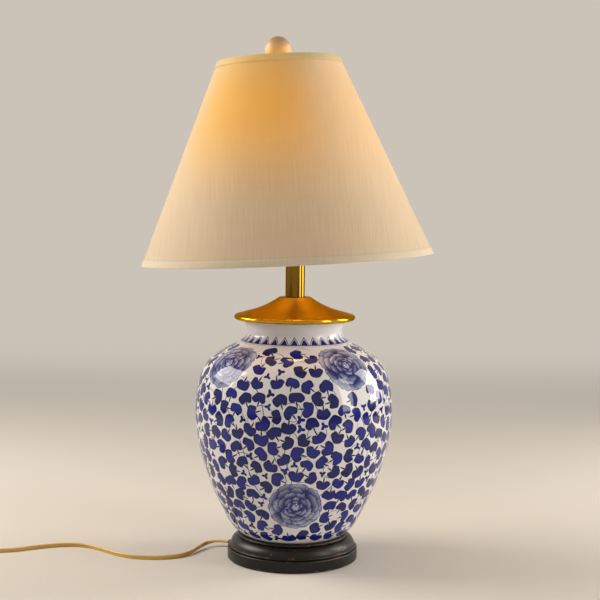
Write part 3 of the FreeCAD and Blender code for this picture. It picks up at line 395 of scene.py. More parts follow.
def apart(a, b):
    """Sideways and upward distance in mm from each of b to each of a on the jar, the short way round."""
    turn = (a[:, None, 0] - b[None, :, 0] + np.pi) % (2 * np.pi) - np.pi
    girth = (jar_radius(a[:, 1])[:, None] + jar_radius(b[:, 1])[None]) / 2
    return turn * girth, a[:, None, 1] - b[None, :, 1]


def spread(spots, room, flowers, rounds=160, push=0.3, far=999):
    """Each round, spots nearer than their two rooms added move apart by a part of what is missing, and a
    spot on a flower moves off it by all of it. A spot counts as far from itself."""
    for _ in range(rounds):
        for others, other_room in ((spots, room), (flowers, np.full(len(flowers), FLOWER_R - 1.0))):
            across, up = apart(spots, others)
            distance = np.hypot(across, up) + (0 if others is flowers else np.eye(len(spots)) * far)
            lack = np.clip(room[:, None] + other_room[None] - distance, 0, None) / distance
            lack *= 1.0 if others is flowers else push
            aside = (lack * across).sum(1) / jar_radius(spots[:, 1])
            spots = spots + np.stack([aside, (lack * up).sum(1)], -1)
        margin = (room - SPRIG_ROOM) * 0.4
        spots[:, 1] = np.clip(spots[:, 1], LOW_S + margin, HIGH_S - margin)
    return spots


flowers = np.stack([flower_angle, flower_s], -1)
spots = scatter(TRIES)
across, up = apart(spots, flowers)
spots = spots[np.hypot(across, up).min(1) > FLOWER_R + 2][:SPOTS]
is_sprig = rng.random(len(spots)) < SPRIG_SHARE
room = np.where(is_sprig, SPRIG_ROOM, LEAF_ROOM)
spots = spread(spots, room, flowers)
print("leaves", int((~is_sprig).sum()), "sprigs", int(is_sprig.sum()))

# %% [markdown]
# ### Vines
# Long slow stems run between the flowers, and each little group of leaves grows round a curl. The stems
# are thin lines of diluted blue, drawn first so that the leaves lie on them.

# %% Paint vines and curls
CURL_SIZES, CURL_TURNS, CURL_WIDTH = (13, 20), (4.2, 5.6), 0.85
STEM_LENGTHS, STEM_WIDTH, STEM_INK = (150, 180), 1.1, linear("#4A5587")
curl_spots = np.stack([rng.uniform(0, 2 * np.pi, CURLS), rng.uniform(LOW_S + 12, HIGH_S - 12, CURLS)], -1)
curls = spread(curl_spots, np.full(CURLS, CURL_ROOM), flowers, 60)
for angle, s in curls:
    size = rng.uniform(*CURL_SIZES)
    start = rng.uniform(0, 2 * np.pi)
    a = np.linspace(0, rng.choice([-1, 1]) * rng.uniform(*CURL_TURNS), 20)
    paint(angle, s, stroke(polar(size * (1 + 0.05 * a), start + a), CURL_WIDTH), VINE)
for k, (angle, s) in enumerate(flowers):
    for side in (-1, 1):
        t = np.linspace(0, 1, 26)
        down = -1 if k < 4 else 1
        reach = rng.uniform(*STEM_LENGTHS)
        path = np.stack([side * (20 + 78 * np.sin(t * 2.4)) + 8 * np.sin(9 * t + k),
                         down * (12 + reach * t) + 12 * np.sin(7 * t + k)], -1)
        paint(angle, s, stroke(path, STEM_WIDTH), VINE, STEM_INK, toward=(0, down * STEM_LENGTHS[0]))

# %% [markdown]
# ### Leaves
# A leaf is a round blob with a notch: its radius dips where the stalk comes in, and waves a little
# elsewhere. The notch faces the curl that the leaf belongs to. The blue pools at a leaf's edge, so a
# darker blob lies under it.

# %% Paint leaves and sprigs
LEAF_INKS = [linear(c) for c in ("#05084A", "#080D66", "#0B117C", "#06083C", "#0E1686")]
LEAF_EDGE, LEAF_PALE = linear("#04052C"), linear("#2A38A4")
LEAF_SIZES, SPRIG_SIZES = (9.0, 10.3), (5.2, 6.8)
BLADE_SHARE, STALK_WIDTH = 0.8, 2.1
across, up = apart(curls, spots)
nearest = np.hypot(across, up).argmin(0)
each = np.arange(len(spots))
toward = np.arctan2(up[nearest, each], across[nearest, each])


def leaf_outline(radius, facing):
    """radius (1 + waves) (1 - 0.7 exp(-(b/0.38)^2)) at angle b from the notch, wider than long."""
    b = np.linspace(-np.pi, np.pi, 21)[:-1] + 1e-3
    wave = 0.05 * np.cos(3 * b + rng.uniform(0, 6)) + 0.045 * np.cos(5 * b + rng.uniform(0, 6))
    reach = radius * (1 + wave) * (1 - 0.70 * np.exp(-(b / 0.38) ** 2))
    x, y = reach * np.cos(b) * rng.uniform(0.82, 0.96), reach * np.sin(b) * rng.uniform(1.0, 1.12)
    return turned(x, y, facing)


def sprig_outline(radius, facing):
    """radius (0.36 + 0.64 cos^2(1.5 b)) at angle b: three lobes."""
    b = np.linspace(0, 2 * np.pi, 19)[:-1]
    return polar(radius * (0.36 + 0.64 * np.cos(1.5 * b) ** 2), b + facing)


for (angle, s), small, facing in zip(spots, is_sprig, toward + rng.normal(0, 0.45, len(spots))):
    ink = LEAF_INKS[rng.integers(len(LEAF_INKS))]
    out = polar(1.0, facing)
    if small:
        paint(angle, s, sprig_outline(rng.uniform(*SPRIG_SIZES), facing), ink)
        continue
    radius = rng.uniform(*LEAF_SIZES)
    bow = np.array([-out[1], out[0]]) * rng.uniform(-1.5, 1.5)
    stalk = np.array([out * radius * q + bow * (q - 0.4) for q in (0.2, 0.5, 0.85, 1.25)])
    blade = leaf_outline(radius, facing)
    paint(angle, s, blade, LEAF_EDGE)
    paint(angle, s, blade * BLADE_SHARE, ink, ink * 0.75 + LEAF_PALE * 0.25, out * radius, -out * radius)
    paint(angle, s, stroke(stalk, STALK_WIDTH), LEAF_EDGE)

# %% [markdown]
# ### Peonies
# A peony is rings of broad petals, the outer ring first. A petal is an oval with a ragged outer edge, in
# two layers: a dark line, and a wash that goes from deep blue at its foot to pale at its tip. A few dark
# creases run up it. Stamens sit in the pale heart.

# %% Paint peonies
PETAL_LINE, PETAL_FOOT, PETAL_TIP = linear("#1F2A70"), linear("#141B62"), linear("#B4BCDA")
PETAL_GROUND, HEART_INK, STAMEN_INK = linear("#8E98BE"), linear("#8791BD"), linear("#E3E6F0")
PETAL_RINGS = [(10, 28.0, 24.0, 19.0), (9, 22.5, 20.5, 16.5), (7, 16.5, 17.0, 14.0), (6, 11.0, 12.5, 11.0),
               (5, 7.0, 8.5, 8.0)]     # how many, how far out, how wide and how long
PEONY_R, HEART_R, STAMEN_R, STAMENS = 35.0, 5.2, 0.85, 12
GROUND_RIM, PETAL_RIM, CREASE_WIDTH = 0.8, 1.3, 0.7
SPIRAL = 2.4


def petal_outline(distance, facing, width, length, ragged):
    """An oval whose middle is distance from the heart. Its far edge waves by 6% seven times a turn and by
    4% twelve times a turn."""
    t = np.linspace(0, 2 * np.pi, 23)[:-1]
    far_edge = np.clip(np.cos(t) + 0.3, 0, 1)
    wave = 1 + far_edge * (0.06 * np.cos(7 * t + ragged) + 0.04 * np.cos(12 * t - ragged))
    out = distance + length / 2 * np.cos(t) * wave
    side = width / 2 * np.sin(t) * wave * (1 + 0.15 * np.cos(t))
    return turned(out, side, facing)


def paint_peony(angle, s):
    """A ragged ground, then every ring of petals from the outside in, then the heart with its stamens. A
    petal has a dark line, a wash that goes over from foot to tip, and two creases."""
    b = np.linspace(0, 2 * np.pi, 79)[:-1]
    edge = PEONY_R + 1.6 * np.abs(np.sin(5 * b + rng.uniform(0, 3)))
    edge += 0.9 * np.sin(13 * b + rng.uniform(0, 6))
    paint(angle, s, polar(edge, b), PETAL_LINE)
    paint(angle, s, polar(edge - GROUND_RIM, b), PETAL_GROUND)
    for count, distance, width, length in PETAL_RINGS:
        start = rng.uniform(0, 6)
        for k in range(count):
            facing = start + 2 * np.pi * k / count + rng.normal(0, 0.16)
            middle, ragged = distance + rng.normal(0, 0.9), rng.uniform(0, 6)
            wide, tone = width * rng.uniform(0.78, 1.22), rng.uniform(0.65, 1.1)
            out = polar(1.0, facing)
            paint(angle, s, petal_outline(middle, facing, wide, length, ragged), PETAL_LINE)
            wash = petal_outline(middle, facing, wide - PETAL_RIM, length - PETAL_RIM, ragged)
            paint(angle, s, wash, PETAL_FOOT, PETAL_TIP * tone, out * (middle - length * 0.02),
                  out * (middle + length * 0.46))
            for lean in (-0.18, 0.16):
                crease = np.array([out * middle * 0.95, out * (middle + length * rng.uniform(0.15, 0.36))])
                crease = crease + np.array([-out[1], out[0]]) * lean * wide
                ink = PETAL_FOOT * 0.5 + PETAL_TIP * 0.12
                paint(angle, s, stroke(np.linspace(*crease, 4), CREASE_WIDTH), ink)
    dot = np.linspace(0, 2 * np.pi, 9)[:-1]
    paint(angle, s, polar(HEART_R, dot), HEART_INK)
    for k in range(STAMENS):
        place = polar(0.6 + 0.42 * k, k * SPIRAL)
        paint(angle, s, place + polar(STAMEN_R, dot), STAMEN_INK if k % 3 else PETAL_LINE)


for angle, s in flowers:
    paint_peony(angle, s)

# %% Paint the neck border
LAPPETS = 33
BANDS = ((-1.1, 0.4, "#3A4690"), (-3.4, -2.7, "#8590B8"))
LAPPET_LAYERS = ((6.9, 13.6, linear("#37438C")), (5.8, 11.6, GROUND), (5.0, 9.9, linear("#151C66")))
band = along_profile(309.0)
around = np.linspace(-np.pi, np.pi, 60)
for low, high, code in BANDS:
    ink = linear(code)
    lower = np.stack([around * CHART, around * 0 + (band + low)], -1)
    upper = np.stack([around * CHART, around * 0 + (band + high)], -1)
    ring = np.concatenate([lower, upper[::-1]]) + [CHART_WIDTH / 2, 0]
    ring[:, 0] = np.clip(ring[:, 0], 0, CHART_WIDTH)
    motifs.append((ring, np.zeros(2), np.zeros(2), ink, ink))
lappet = np.array([(-1.0, 0), (-0.62, 0.44), (-0.28, 0.78), (0, 1.0), (0.28, 0.78), (0.62, 0.44), (1.0, 0)])
for k in range(LAPPETS):
    for half, tall, ink in LAPPET_LAYERS:
        paint(np.pi / 2 + (k + 0.5) * 2 * np.pi / LAPPETS, band + 0.4, lappet * [half, tall], ink)
print("motifs", len(motifs))

# %% [markdown]
# ### From chart to jar
# A constrained triangulation cuts the chart along every outline, so each edge of the painting is a real
# edge of the mesh and stays sharp at any size. A loose net of extra points keeps the surface round. The
# topmost motif over a triangle gives its ink. The chart is then rolled on to the profile.

# %% Triangulate the painting
COLUMNS, ROWS = 108, 66


def chart_points():
    """The chart's edge as one polygon with points on the net, then the net's points inside it."""
    x, y = np.linspace(0, CHART_WIDTH, COLUMNS + 1), np.linspace(0, JAR_LENGTH, ROWS + 1)
    edge = np.concatenate([np.stack([x, x * 0], -1), np.stack([y[1:] * 0 + CHART_WIDTH, y[1:]], -1),
                           np.stack([x[:-1][::-1], x[:-1] * 0 + JAR_LENGTH], -1),
                           np.stack([y[1:-1] * 0, y[1:-1][::-1]], -1)])
    net = np.stack(np.meshgrid(x[1:-1], y[1:-1]), -1).reshape(-1, 2)
    return edge, net


edge, net = chart_points()
chart = [edge, net] + [m[0] for m in motifs]
starts = np.concatenate([[0], np.cumsum([len(c) for c in chart])])
polygons = [list(range(len(edge)))] + [list(range(starts[k + 2], starts[k + 3])) for k in range(len(motifs))]
flat = [Vector(p) for p in np.concatenate(chart).tolist()]
out_points, _, out_faces, _, _, over = delaunay_2d_cdt(flat, [], polygons, 1, 1e-3)
chart_xy = np.array([tuple(p) for p in out_points])
triangles = np.array(out_faces)
top = np.array([max(ids) if len(ids) else -1 for ids in over]) - 1
middle = chart_xy[triangles].mean(1)
inside = (middle[:, 0] > 0) & (middle[:, 0] < CHART_WIDTH)
triangles, top = triangles[inside], top[inside]
print("chart cut into", len(triangles), "triangles")

# %% Inks at every corner
marks = [(np.zeros(2), np.zeros(2), GROUND, GROUND)] + [m[1:] for m in motifs]
mark_start, mark_step, mark_ink, mark_other = (np.array([m[k] for m in marks]) for k in range(4))
mine = top + 1
corner_xy = chart_xy[triangles]
share = np.clip(((corner_xy - mark_start[mine][:, None]) * mark_step[mine][:, None]).sum(-1), 0, 1)
inks = mark_ink[mine][:, None] * (1 - share[..., None]) + mark_other[mine][:, None] * share[..., None]
inks = np.clip(inks, 0.0, 1.0)

# %% Roll the chart on to the jar and add the plain inside
WALL, MOUTH_R = 5.0, 67.0
FLOOR_TOP, FLOOR_UNDER = 45.3, 40.3
ROD_HOLE_R, FOOT_INNER_R = 5.4, 63.5
FOOT_CLEAR, INSIDE_STEP = 12, 8
turn = chart_xy[:, 0] / CHART + np.pi / 2
outer = np.stack([np.interp(chart_xy[:, 1], jar_rise, jar_curve[:, k]) for k in (0, 1)], -1)
lean = np.stack([np.interp(chart_xy[:, 1], jar_rise, jar_slope[:, k]) for k in (0, 1)], -1)
outer_points = np.stack([outer[:, 0] * np.cos(turn), outer[:, 0] * np.sin(turn), outer[:, 1]], -1)
outer_normals = np.stack([lean[:, 1] * np.cos(turn), lean[:, 1] * np.sin(turn), -lean[:, 0]], -1)
inner_curve = jar_curve - WALL * np.stack([jar_slope[:, 1], -jar_slope[:, 0]], -1)
inner_curve = inner_curve[inner_curve[:, 1] > JAR_FOOT_Z + FOOT_CLEAR][::-INSIDE_STEP]
foot = [(76.0, FLOOR_TOP + 1.2), (68.0, FLOOR_TOP), (ROD_HOLE_R, FLOOR_TOP), (ROD_HOLE_R, FLOOR_UNDER),
        (FOOT_INNER_R, FLOOR_UNDER), (FOOT_INNER_R, JAR_FOOT_Z), jar_curve[0]]
inside_profile = np.concatenate([[jar_curve[-1], (MOUTH_R, jar_curve[-1, 1])], inner_curve[1:], foot])
angles = circle(COLUMNS) + np.pi / 2
inner_points = turned_points(inside_profile, angles)
slopes = np.gradient(inside_profile, axis=0)
slopes /= np.linalg.norm(slopes, axis=1)[:, None]
inner_normals = turned_points(np.stack([slopes[:, 1], -slopes[:, 0]], -1), angles)
inner_quads = quads(len(inside_profile), COLUMNS + 1)
inner_faces = np.concatenate([inner_quads[:, [0, 1, 2]], inner_quads[:, [0, 2, 3]]]) + len(outer_points)


def make_jar():
    """Outer and inner triangles in one closed shell, with the ink on the corners and the true normals."""
    points = np.concatenate([outer_points, inner_points]) * MM
    normals = np.concatenate([outer_normals, inner_normals])
    faces = np.concatenate([triangles, inner_faces])
    ink = np.concatenate([inks.reshape(-1, 3), np.tile(GROUND, (len(inner_faces) * 3, 1))]).reshape(-1, 3, 3)
    first, where = weld(points)
    faces = where[faces]
    whole = (faces[:, 0] != faces[:, 1]) & (faces[:, 1] != faces[:, 2]) & (faces[:, 2] != faces[:, 0])
    faces, ink = faces[whole], ink[whole]
    mesh = bpy.data.meshes.new("jar")
    mesh.from_pydata(points[first].tolist(), [], faces.tolist())
    colours = mesh.color_attributes.new("ink", "FLOAT_COLOR", "CORNER")
    opaque = np.c_[ink.reshape(-1, 3), np.ones(len(ink) * 3)].astype(np.float32)
    colours.data.foreach_set("color", opaque.ravel())
    mesh.polygons.foreach_set("use_smooth", [True] * len(faces))
    mesh.normals_split_custom_set_from_vertices(normals[first].tolist())
    jar = put("jar", mesh)
    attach(jar, "root")
    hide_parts("porcelain_jar")
    print("made jar with", len(faces), "faces")
    return jar


jar = make_jar()

# %% [markdown]
# ## The shade
# A cone of ivory linen laminated on a stiff backing. It sits on a ring with three arms, and it leans a
# little. Its weave is that of flat cloth: a cone unrolls to part of a ring, so the UV map is that flat
# pattern, and threads run as they would when it was cut. Both edges are bound with a folded strip of the
# same linen.

# %% Linen cover
SHADE_SEAT = np.array([-25.77, 0.0, 687.34])
SHADE_AXIS = (-0.055822, 0.0, 0.998441)
SHADE_LOW, SHADE_HIGH = -265.4, 9.2
SHADE_BOTTOM_R, COVER_WALL = 202.4, 1.0
FALL = 0.429716


def cone_radius(z):
    """Radius in mm of the cover's outside at z along the shade's own axis."""
    return SHADE_BOTTOM_R - (z - SHADE_LOW) * FALL


SPREAD = FALL / math.sqrt(1 + FALL ** 2)


def shade_band(name, section, stands_for, columns=240):
    """A closed band round the cone. section holds pairs: distance out from the cover's outside, and z.
    The UV map is the cone unrolled: radius / SPREAD from the fan's point, at the angle round the cone
    times SPREAD."""
    section = np.asarray(section, float)
    profile = np.stack([cone_radius(section[:, 1]) + section[:, 0], section[:, 1]], -1)
    profile = np.concatenate([profile, profile[:1]])
    around = circle(columns) + np.pi / 2
    points = turned_points(profile, around, SHADE_SEAT, SHADE_AXIS) * MM
    flat_radius = profile[:, 0] / SPREAD * MM
    fan = circle(columns) * SPREAD
    fan -= fan.mean()
    uv = np.stack([flat_radius[:, None] * np.sin(fan), flat_radius[:, None] * np.cos(fan)], -1)
    faces = quads(len(profile), columns + 1)[:, ::-1]
    return make_piece(name, points, faces, "shade", uv.reshape(-1, 2), stands_for)


levels = np.linspace(SHADE_LOW, SHADE_HIGH, 26)
outer_face, inner_face = (np.stack([levels * 0 - inwards, levels], -1) for inwards in (0.0, COVER_WALL))
cover_section = np.concatenate([inner_face, outer_face[::-1]])
linen_cover = shade_band("linen_cover", cover_section, ("shade_cover",))

# %% Bound edges


def binding_section(edge, into):
    """A strip 0.75 mm thick folded over an edge: 9 mm high outside, 5.5 mm inside, round at the fold."""
    fold = np.linspace(0, np.pi, 9)
    outside = [(0.10, 9.0), (0.50, 9.15), (0.78, 8.7), (0.86, 6.0), (0.88, 3.0)]
    nose = np.stack([-0.46 + 1.34 * np.cos(fold), -0.62 * np.sin(fold) + 0.2], -1)
    inside = [(-1.85, 3.0), (-1.82, 5.2), (-1.55, 5.5), (-1.1, 5.3), (-1.1, 0.1), (-0.5, -0.15), (0.05, 0.1)]
    section = np.concatenate([outside, nose, inside])
    section[:, 1] = edge + into * section[:, 1]
    return section if into > 0 else section[::-1]


bottom_binding = shade_band("bottom_binding", binding_section(SHADE_LOW, 1), ("shade_bottom_trim",))
top_binding = shade_band("top_binding", binding_section(SHADE_HIGH, -1), ("shade_top_trim",))

# %% The lapped seam
SEAM_HALF, SEAM_THICK, SEAM_SUNK, SEAM_MARGIN = 5.5, 0.45, 0.2, 8


def lapped_seam():
    """A strip up the back that thins out at both sides: its height is SEAM_THICK (1 - w^6) at w, which
    runs from -1 to 1 over its width."""
    w = np.linspace(-1, 1, 9)[None]
    z = np.linspace(SHADE_LOW + SEAM_MARGIN, SHADE_HIGH - SEAM_MARGIN, 24)[:, None]
    lid, under = cone_radius(z) + SEAM_THICK * (1 - w ** 6), cone_radius(z) + w * 0 - SEAM_SUNK
    turn = np.pi / 2 + SEAM_HALF * w / cone_radius(z)
    east, north = np.array([SHADE_AXIS[2], 0, -SHADE_AXIS[0]]), np.array([0, 1.0, 0])
    sides = []
    for reach, a in ((lid, turn), (under[:, ::-1], turn[:, ::-1])):
        spoke = np.cos(a)[..., None] * east + np.sin(a)[..., None] * north
        sides.append(reach[..., None] * spoke + z[..., None] * np.array(SHADE_AXIS) + SHADE_SEAT)
    ring = np.concatenate(sides + [sides[0][:, :1]], 1) * MM
    ends = [np.repeat(ring[k].mean(0)[None, None], ring.shape[1], 1) for k in (0, -1)]
    grid = np.concatenate([ends[0], ring, ends[1]], 0)
    uv = np.stack([grid[..., 0], grid[..., 2]], -1).reshape(-1, 2)
    return make_piece("linen_seam", grid.reshape(-1, 3), quads(*grid.shape[:2]), "shade", uv)


linen_seam = lapped_seam()

# %% [markdown]
# ## The bulb's screw cap
# A thin brass-coloured cap with a rolled thread, seven turns to the inch. The thread is a wave of the
# radius that winds up with the angle, and fades out at both ends.

# %% Threaded cap
BULB_TIP_Z = 472.6
THREAD_PITCH = 25.4 / 7
CAP_R, THREAD_DEPTH, THREAD_FADE = 12.25, 0.7, 2.5
CAP_LOW, CAP_HIGH = 3, 26


def threaded_cap():
    """radius = CAP_R + THREAD_DEPTH cos(2 pi z / pitch - a), where the wave fades out at both ends. A
    flat disc closes each end."""
    z = np.linspace(CAP_LOW, CAP_HIGH, 60)
    a = circle(64)
    fade = np.clip((z - CAP_LOW) / THREAD_FADE, 0, 1) * np.clip((CAP_HIGH - z) / THREAD_FADE, 0, 1)
    radius = CAP_R + THREAD_DEPTH * fade[:, None] * np.cos(2 * np.pi * z[:, None] / THREAD_PITCH - a[None])
    middle = np.zeros((1, len(a)))
    radius = np.concatenate([middle, radius, middle])
    height = np.concatenate([z[:1], z, z[-1:]]) + BULB_TIP_Z
    points = np.stack([radius * np.cos(a), radius * np.sin(a), height[:, None] + radius * 0], -1)
    points = points.reshape(-1, 3) * MM
    return make_piece("bulb_thread", points, quads(*radius.shape), "bulb", stands_for=("bulb_screw_base",))


bulb_thread = threaded_cap()

# %% [markdown]
# ## Tools for finishes
# Each finish is a small tree of shader nodes on the Principled shader. One function adds a node, sets
# what is given, and links what comes from another node.
#
# Patterns read Object coordinates in metres, so a grain of 0.5 mm is a noise of scale 1000 / 0.5.

# %% Nodes


def add(tree, kind, sockets=None, **settings):
    """Adds a node. Settings are its own properties. Sockets, by name or number, take values or outputs."""
    node = tree.nodes.new(kind)
    for name, value in settings.items():
        setattr(node, name, value)
    for name, value in (sockets or {}).items():
        if isinstance(value, bpy.types.NodeSocket):
            tree.links.new(value, node.inputs[name])
        else:
            node.inputs[name].default_value = value
    return node


def feed(tree, node, **outputs):
    """Links outputs to a node's sockets, named with _ for a space."""
    for name, output in outputs.items():
        tree.links.new(output, node.inputs[name.replace("_", " ")])


def rgba(code):
    """A hex colour as linear RGBA for a socket."""
    return (*linear(code).tolist(), 1.0)


def new_finish(name, **values):
    """A material with a Principled shader. Plain values are set by socket name, with _ for a space."""
    material = bpy.data.materials.new(name)
    material.use_nodes = True
    tree = material.node_tree
    shader = tree.nodes["Principled BSDF"]
    for key, value in values.items():
        shader.inputs[key.replace("_", " ")].default_value = value
    place = add(tree, "ShaderNodeTexCoord").outputs["Object"]
    return material, tree, shader, place


def dress(material, *names):
    """Gives the material to CAD nodes by name or to new pieces."""
    for name in names:
        piece = nodes[name] if isinstance(name, str) else name
        piece.data.materials.clear()
        piece.data.materials.append(material)


# %% [markdown]
# ## Glazed porcelain
# Feldspar porcelain fired at high heat, painted under a clear glaze. The glaze is smooth and hard, so it
# mirrors the lamps sharply, with a very slight waviness that bends the reflections. The blue is a wash:
# it pools and thins, so dark inks vary more than the warm white ground.

# %% Glaze


def porcelain_glaze():
    """Ink from the mesh, turned bluer by noise of 9 mm where it is dark and mottled by noise of 1.5 mm.
    The glaze ripples over 30 mm."""
    material, tree, shader, place = new_finish("underglaze_blue_porcelain", Roughness=0.06, IOR=1.47)
    ink = add(tree, "ShaderNodeVertexColor", layer_name="ink").outputs["Color"]
    wash = add(tree, "ShaderNodeTexNoise", {"Vector": place, "Scale": 1000 / 9, "Detail": 5.0})
    grain = add(tree, "ShaderNodeTexNoise", {"Vector": place, "Scale": 1000 / 1.5, "Detail": 2.0})
    waves = add(tree, "ShaderNodeTexNoise", {"Vector": place, "Scale": 1000 / 30, "Detail": 1.0})
    grey = add(tree, "ShaderNodeRGBToBW", {"Color": ink})
    dark = add(tree, "ShaderNodeMapRange", {"Value": grey.outputs[0], 1: 0.35, 2: 0.05, 3: 0.0, 4: 0.35})
    share = add(tree, "ShaderNodeMath", {0: dark.outputs[0], 1: wash.outputs["Fac"]}, operation="MULTIPLY")
    bluer = add(tree, "ShaderNodeMix", {0: share.outputs[0], 6: ink, 7: rgba("#1B2590")}, data_type="RGBA")
    mottled = add(tree, "ShaderNodeMapRange", {"Value": grain.outputs["Fac"], 3: 0.93, 4: 1.04})
    shaded = add(tree, "ShaderNodeMix", {0: 1.0, 6: bluer.outputs[2], 7: mottled.outputs[0]},
                 data_type="RGBA", blend_type="MULTIPLY")
    bump = add(tree, "ShaderNodeBump", {"Height": waves.outputs["Fac"], "Strength": 0.25, "Distance": 0.0006})
    feed(tree, shader, Base_Color=shaded.outputs[2], Normal=bump.outputs[0])
    return material


dress(porcelain_glaze(), jar)

# %% [markdown]
# ## Lacquered wood
# The base is turned hardwood under black-brown lacquer. Handling has rubbed the lacquer through on the
# outer edges, where warm brown wood shows, and there are a few chips. The wear follows the turned edges,
# so it is laid by height and broken up by noise.

# %% Lacquer
WEAR_HEIGHTS = (0.0018, 0.0164, 0.0199, 0.0350)
WEAR_REACH = 0.0011


def worn_lacquer():
    """Wear where the height is within reach of an edge and noise of 14 mm is high; chips by noise of 7 mm."""
    material, tree, shader, place = new_finish("black_lacquered_wood", IOR=1.40)
    height = add(tree, "ShaderNodeSeparateXYZ", {"Vector": place}).outputs["Z"]
    edges = 0.0
    for edge in WEAR_HEIGHTS:
        near = add(tree, "ShaderNodeMath", {0: height, 1: edge, 2: WEAR_REACH}, operation="COMPARE")
        edges = add(tree, "ShaderNodeMath", {0: near.outputs[0], 1: edges}, operation="MAXIMUM").outputs[0]
    patch = add(tree, "ShaderNodeTexNoise", {"Vector": place, "Scale": 1000 / 14, "Detail": 6.0,
                                             "Roughness": 0.7})
    high = add(tree, "ShaderNodeMapRange", {"Value": patch.outputs["Fac"], 1: 0.55, 2: 0.60})
    worn = add(tree, "ShaderNodeMath", {0: edges, 1: high.outputs[0]}, operation="MULTIPLY")
    spots = add(tree, "ShaderNodeTexNoise", {"Vector": place, "Scale": 1000 / 7, "Detail": 3.0})
    chips = add(tree, "ShaderNodeMapRange", {"Value": spots.outputs["Fac"], 1: 0.69, 2: 0.71})
    bare = add(tree, "ShaderNodeMath", {0: worn.outputs[0], 1: chips.outputs[0]}, operation="MAXIMUM").outputs[0]
    stretch = add(tree, "ShaderNodeMapping", {"Vector": place, "Scale": (1.0, 6.0, 6.0)})
    grain = add(tree, "ShaderNodeTexNoise", {"Vector": stretch.outputs[0], "Scale": 1000 / 18, "Detail": 8.0})
    layers = [add(tree, "ShaderNodeMix", {0: grain.outputs["Fac"], 6: rgba(dark), 7: rgba(pale)},
                  data_type="RGBA").outputs[2]
              for dark, pale in (("#070504", "#120D09"), ("#4A2A17", "#8A5A38"))]
    colour = add(tree, "ShaderNodeMix", {0: bare, 6: layers[0], 7: layers[1]}, data_type="RGBA")
    dull = add(tree, "ShaderNodeMapRange", {"Value": bare, 3: 0.36, 4: 0.75})
    peel = add(tree, "ShaderNodeTexNoise", {"Vector": place, "Scale": 1000 / 2.0, "Detail": 3.0})
    bump = add(tree, "ShaderNodeBump", {"Height": peel.outputs["Fac"], "Strength": 0.12, "Distance": 0.0004})
    dent = add(tree, "ShaderNodeBump", {"Height": bare, "Strength": 0.5, "Distance": 0.0004,
                                        "Normal": bump.outputs[0]}, invert=True)
    feed(tree, shader, Base_Color=colour.outputs[2], Roughness=dull.outputs[0], Normal=dent.outputs[0])
    return material


dress(worn_lacquer(), "wooden_base")

# %% [markdown]
# ## Brass
# The cap is spun brass, brushed on the lathe and lacquered, so fine rings go round it and it glows
# orange-gold rather than mirrors. The tube and the rolled edge are polished. Both are one metal with a
# different grain.

# %% Brushed and polished brass
BEAD_TOP, BEAD_BLUR = 0.3449, 0.0004
EDGE_TINT = "#C9A562"


def turned_brass(name, base, other, roughness, ring_mm, depth, polished_below=0.0):
    """Colour drifts between two golds over 20 mm and has a tint of its own where it is seen edge on. The
    grain is noise over the distance from the axis and the height, so it runs round the piece. Below a
    given height the piece is polished: its roughness and its grain drop to a fifth."""
    material, tree, shader, place = new_finish(name, Metallic=1.0, Specular_Tint=rgba(EDGE_TINT))
    parts = add(tree, "ShaderNodeSeparateXYZ", {"Vector": place}).outputs
    flat = add(tree, "ShaderNodeCombineXYZ", {"X": parts["X"], "Y": parts["Y"]})
    radius = add(tree, "ShaderNodeVectorMath", {0: flat.outputs[0]}, operation="LENGTH")
    rings = add(tree, "ShaderNodeCombineXYZ", {"X": radius.outputs["Value"], "Z": parts["Z"]})
    grain = add(tree, "ShaderNodeTexNoise", {"Vector": rings.outputs[0], "Scale": 1000 / ring_mm, "Detail": 4.0})
    drift = add(tree, "ShaderNodeTexNoise", {"Vector": place, "Scale": 1000 / 20, "Detail": 5.0}).outputs["Fac"]
    colour = add(tree, "ShaderNodeMix", {0: drift, 6: rgba(base), 7: rgba(other)}, data_type="RGBA")
    low, high = polished_below - BEAD_BLUR, polished_below + BEAD_BLUR
    matt = add(tree, "ShaderNodeMapRange", {"Value": parts["Z"], 1: low, 2: high, 3: 0.2, 4: 1.0}).outputs[0]
    rough = add(tree, "ShaderNodeMapRange", {"Value": drift, 3: roughness * 0.75, 4: roughness * 1.3})
    rough = add(tree, "ShaderNodeMath", {0: rough.outputs[0], 1: matt}, operation="MULTIPLY")
    strength = add(tree, "ShaderNodeMath", {0: matt, 1: depth}, operation="MULTIPLY")
    bump = add(tree, "ShaderNodeBump", {"Height": grain.outputs["Fac"], "Strength": strength.outputs[0],
                                        "Distance": 0.0003})
    feed(tree, shader, Base_Color=colour.outputs[2], Roughness=rough.outputs[0], Normal=bump.outputs[0])
    return material


brushed_brass = turned_brass("brushed_brass", "#BE8C18", "#D8AC3E", 0.34, 0.7, 0.35, BEAD_TOP)
polished_brass = turned_brass("polished_brass", "#80601F", "#94702E", 0.07, 1.2, 0.04)
plated_steel = turned_brass("brass_plated_steel", "#C9A050", "#DDBB72", 0.24, 1.5, 0.05)
dress(brushed_brass, "brass_cap")
dress(polished_brass, "neck_tube", "check_rings", "socket_cap", "socket_shell", "finial_insert")
dress(plated_steel, "harp_saddle", "harp_wire", "harp_plate", "front_harp_sleeve", "rear_harp_sleeve",
      "top_ring_and_spider", "bottom_ring", "set_screw", "terminal_screws")
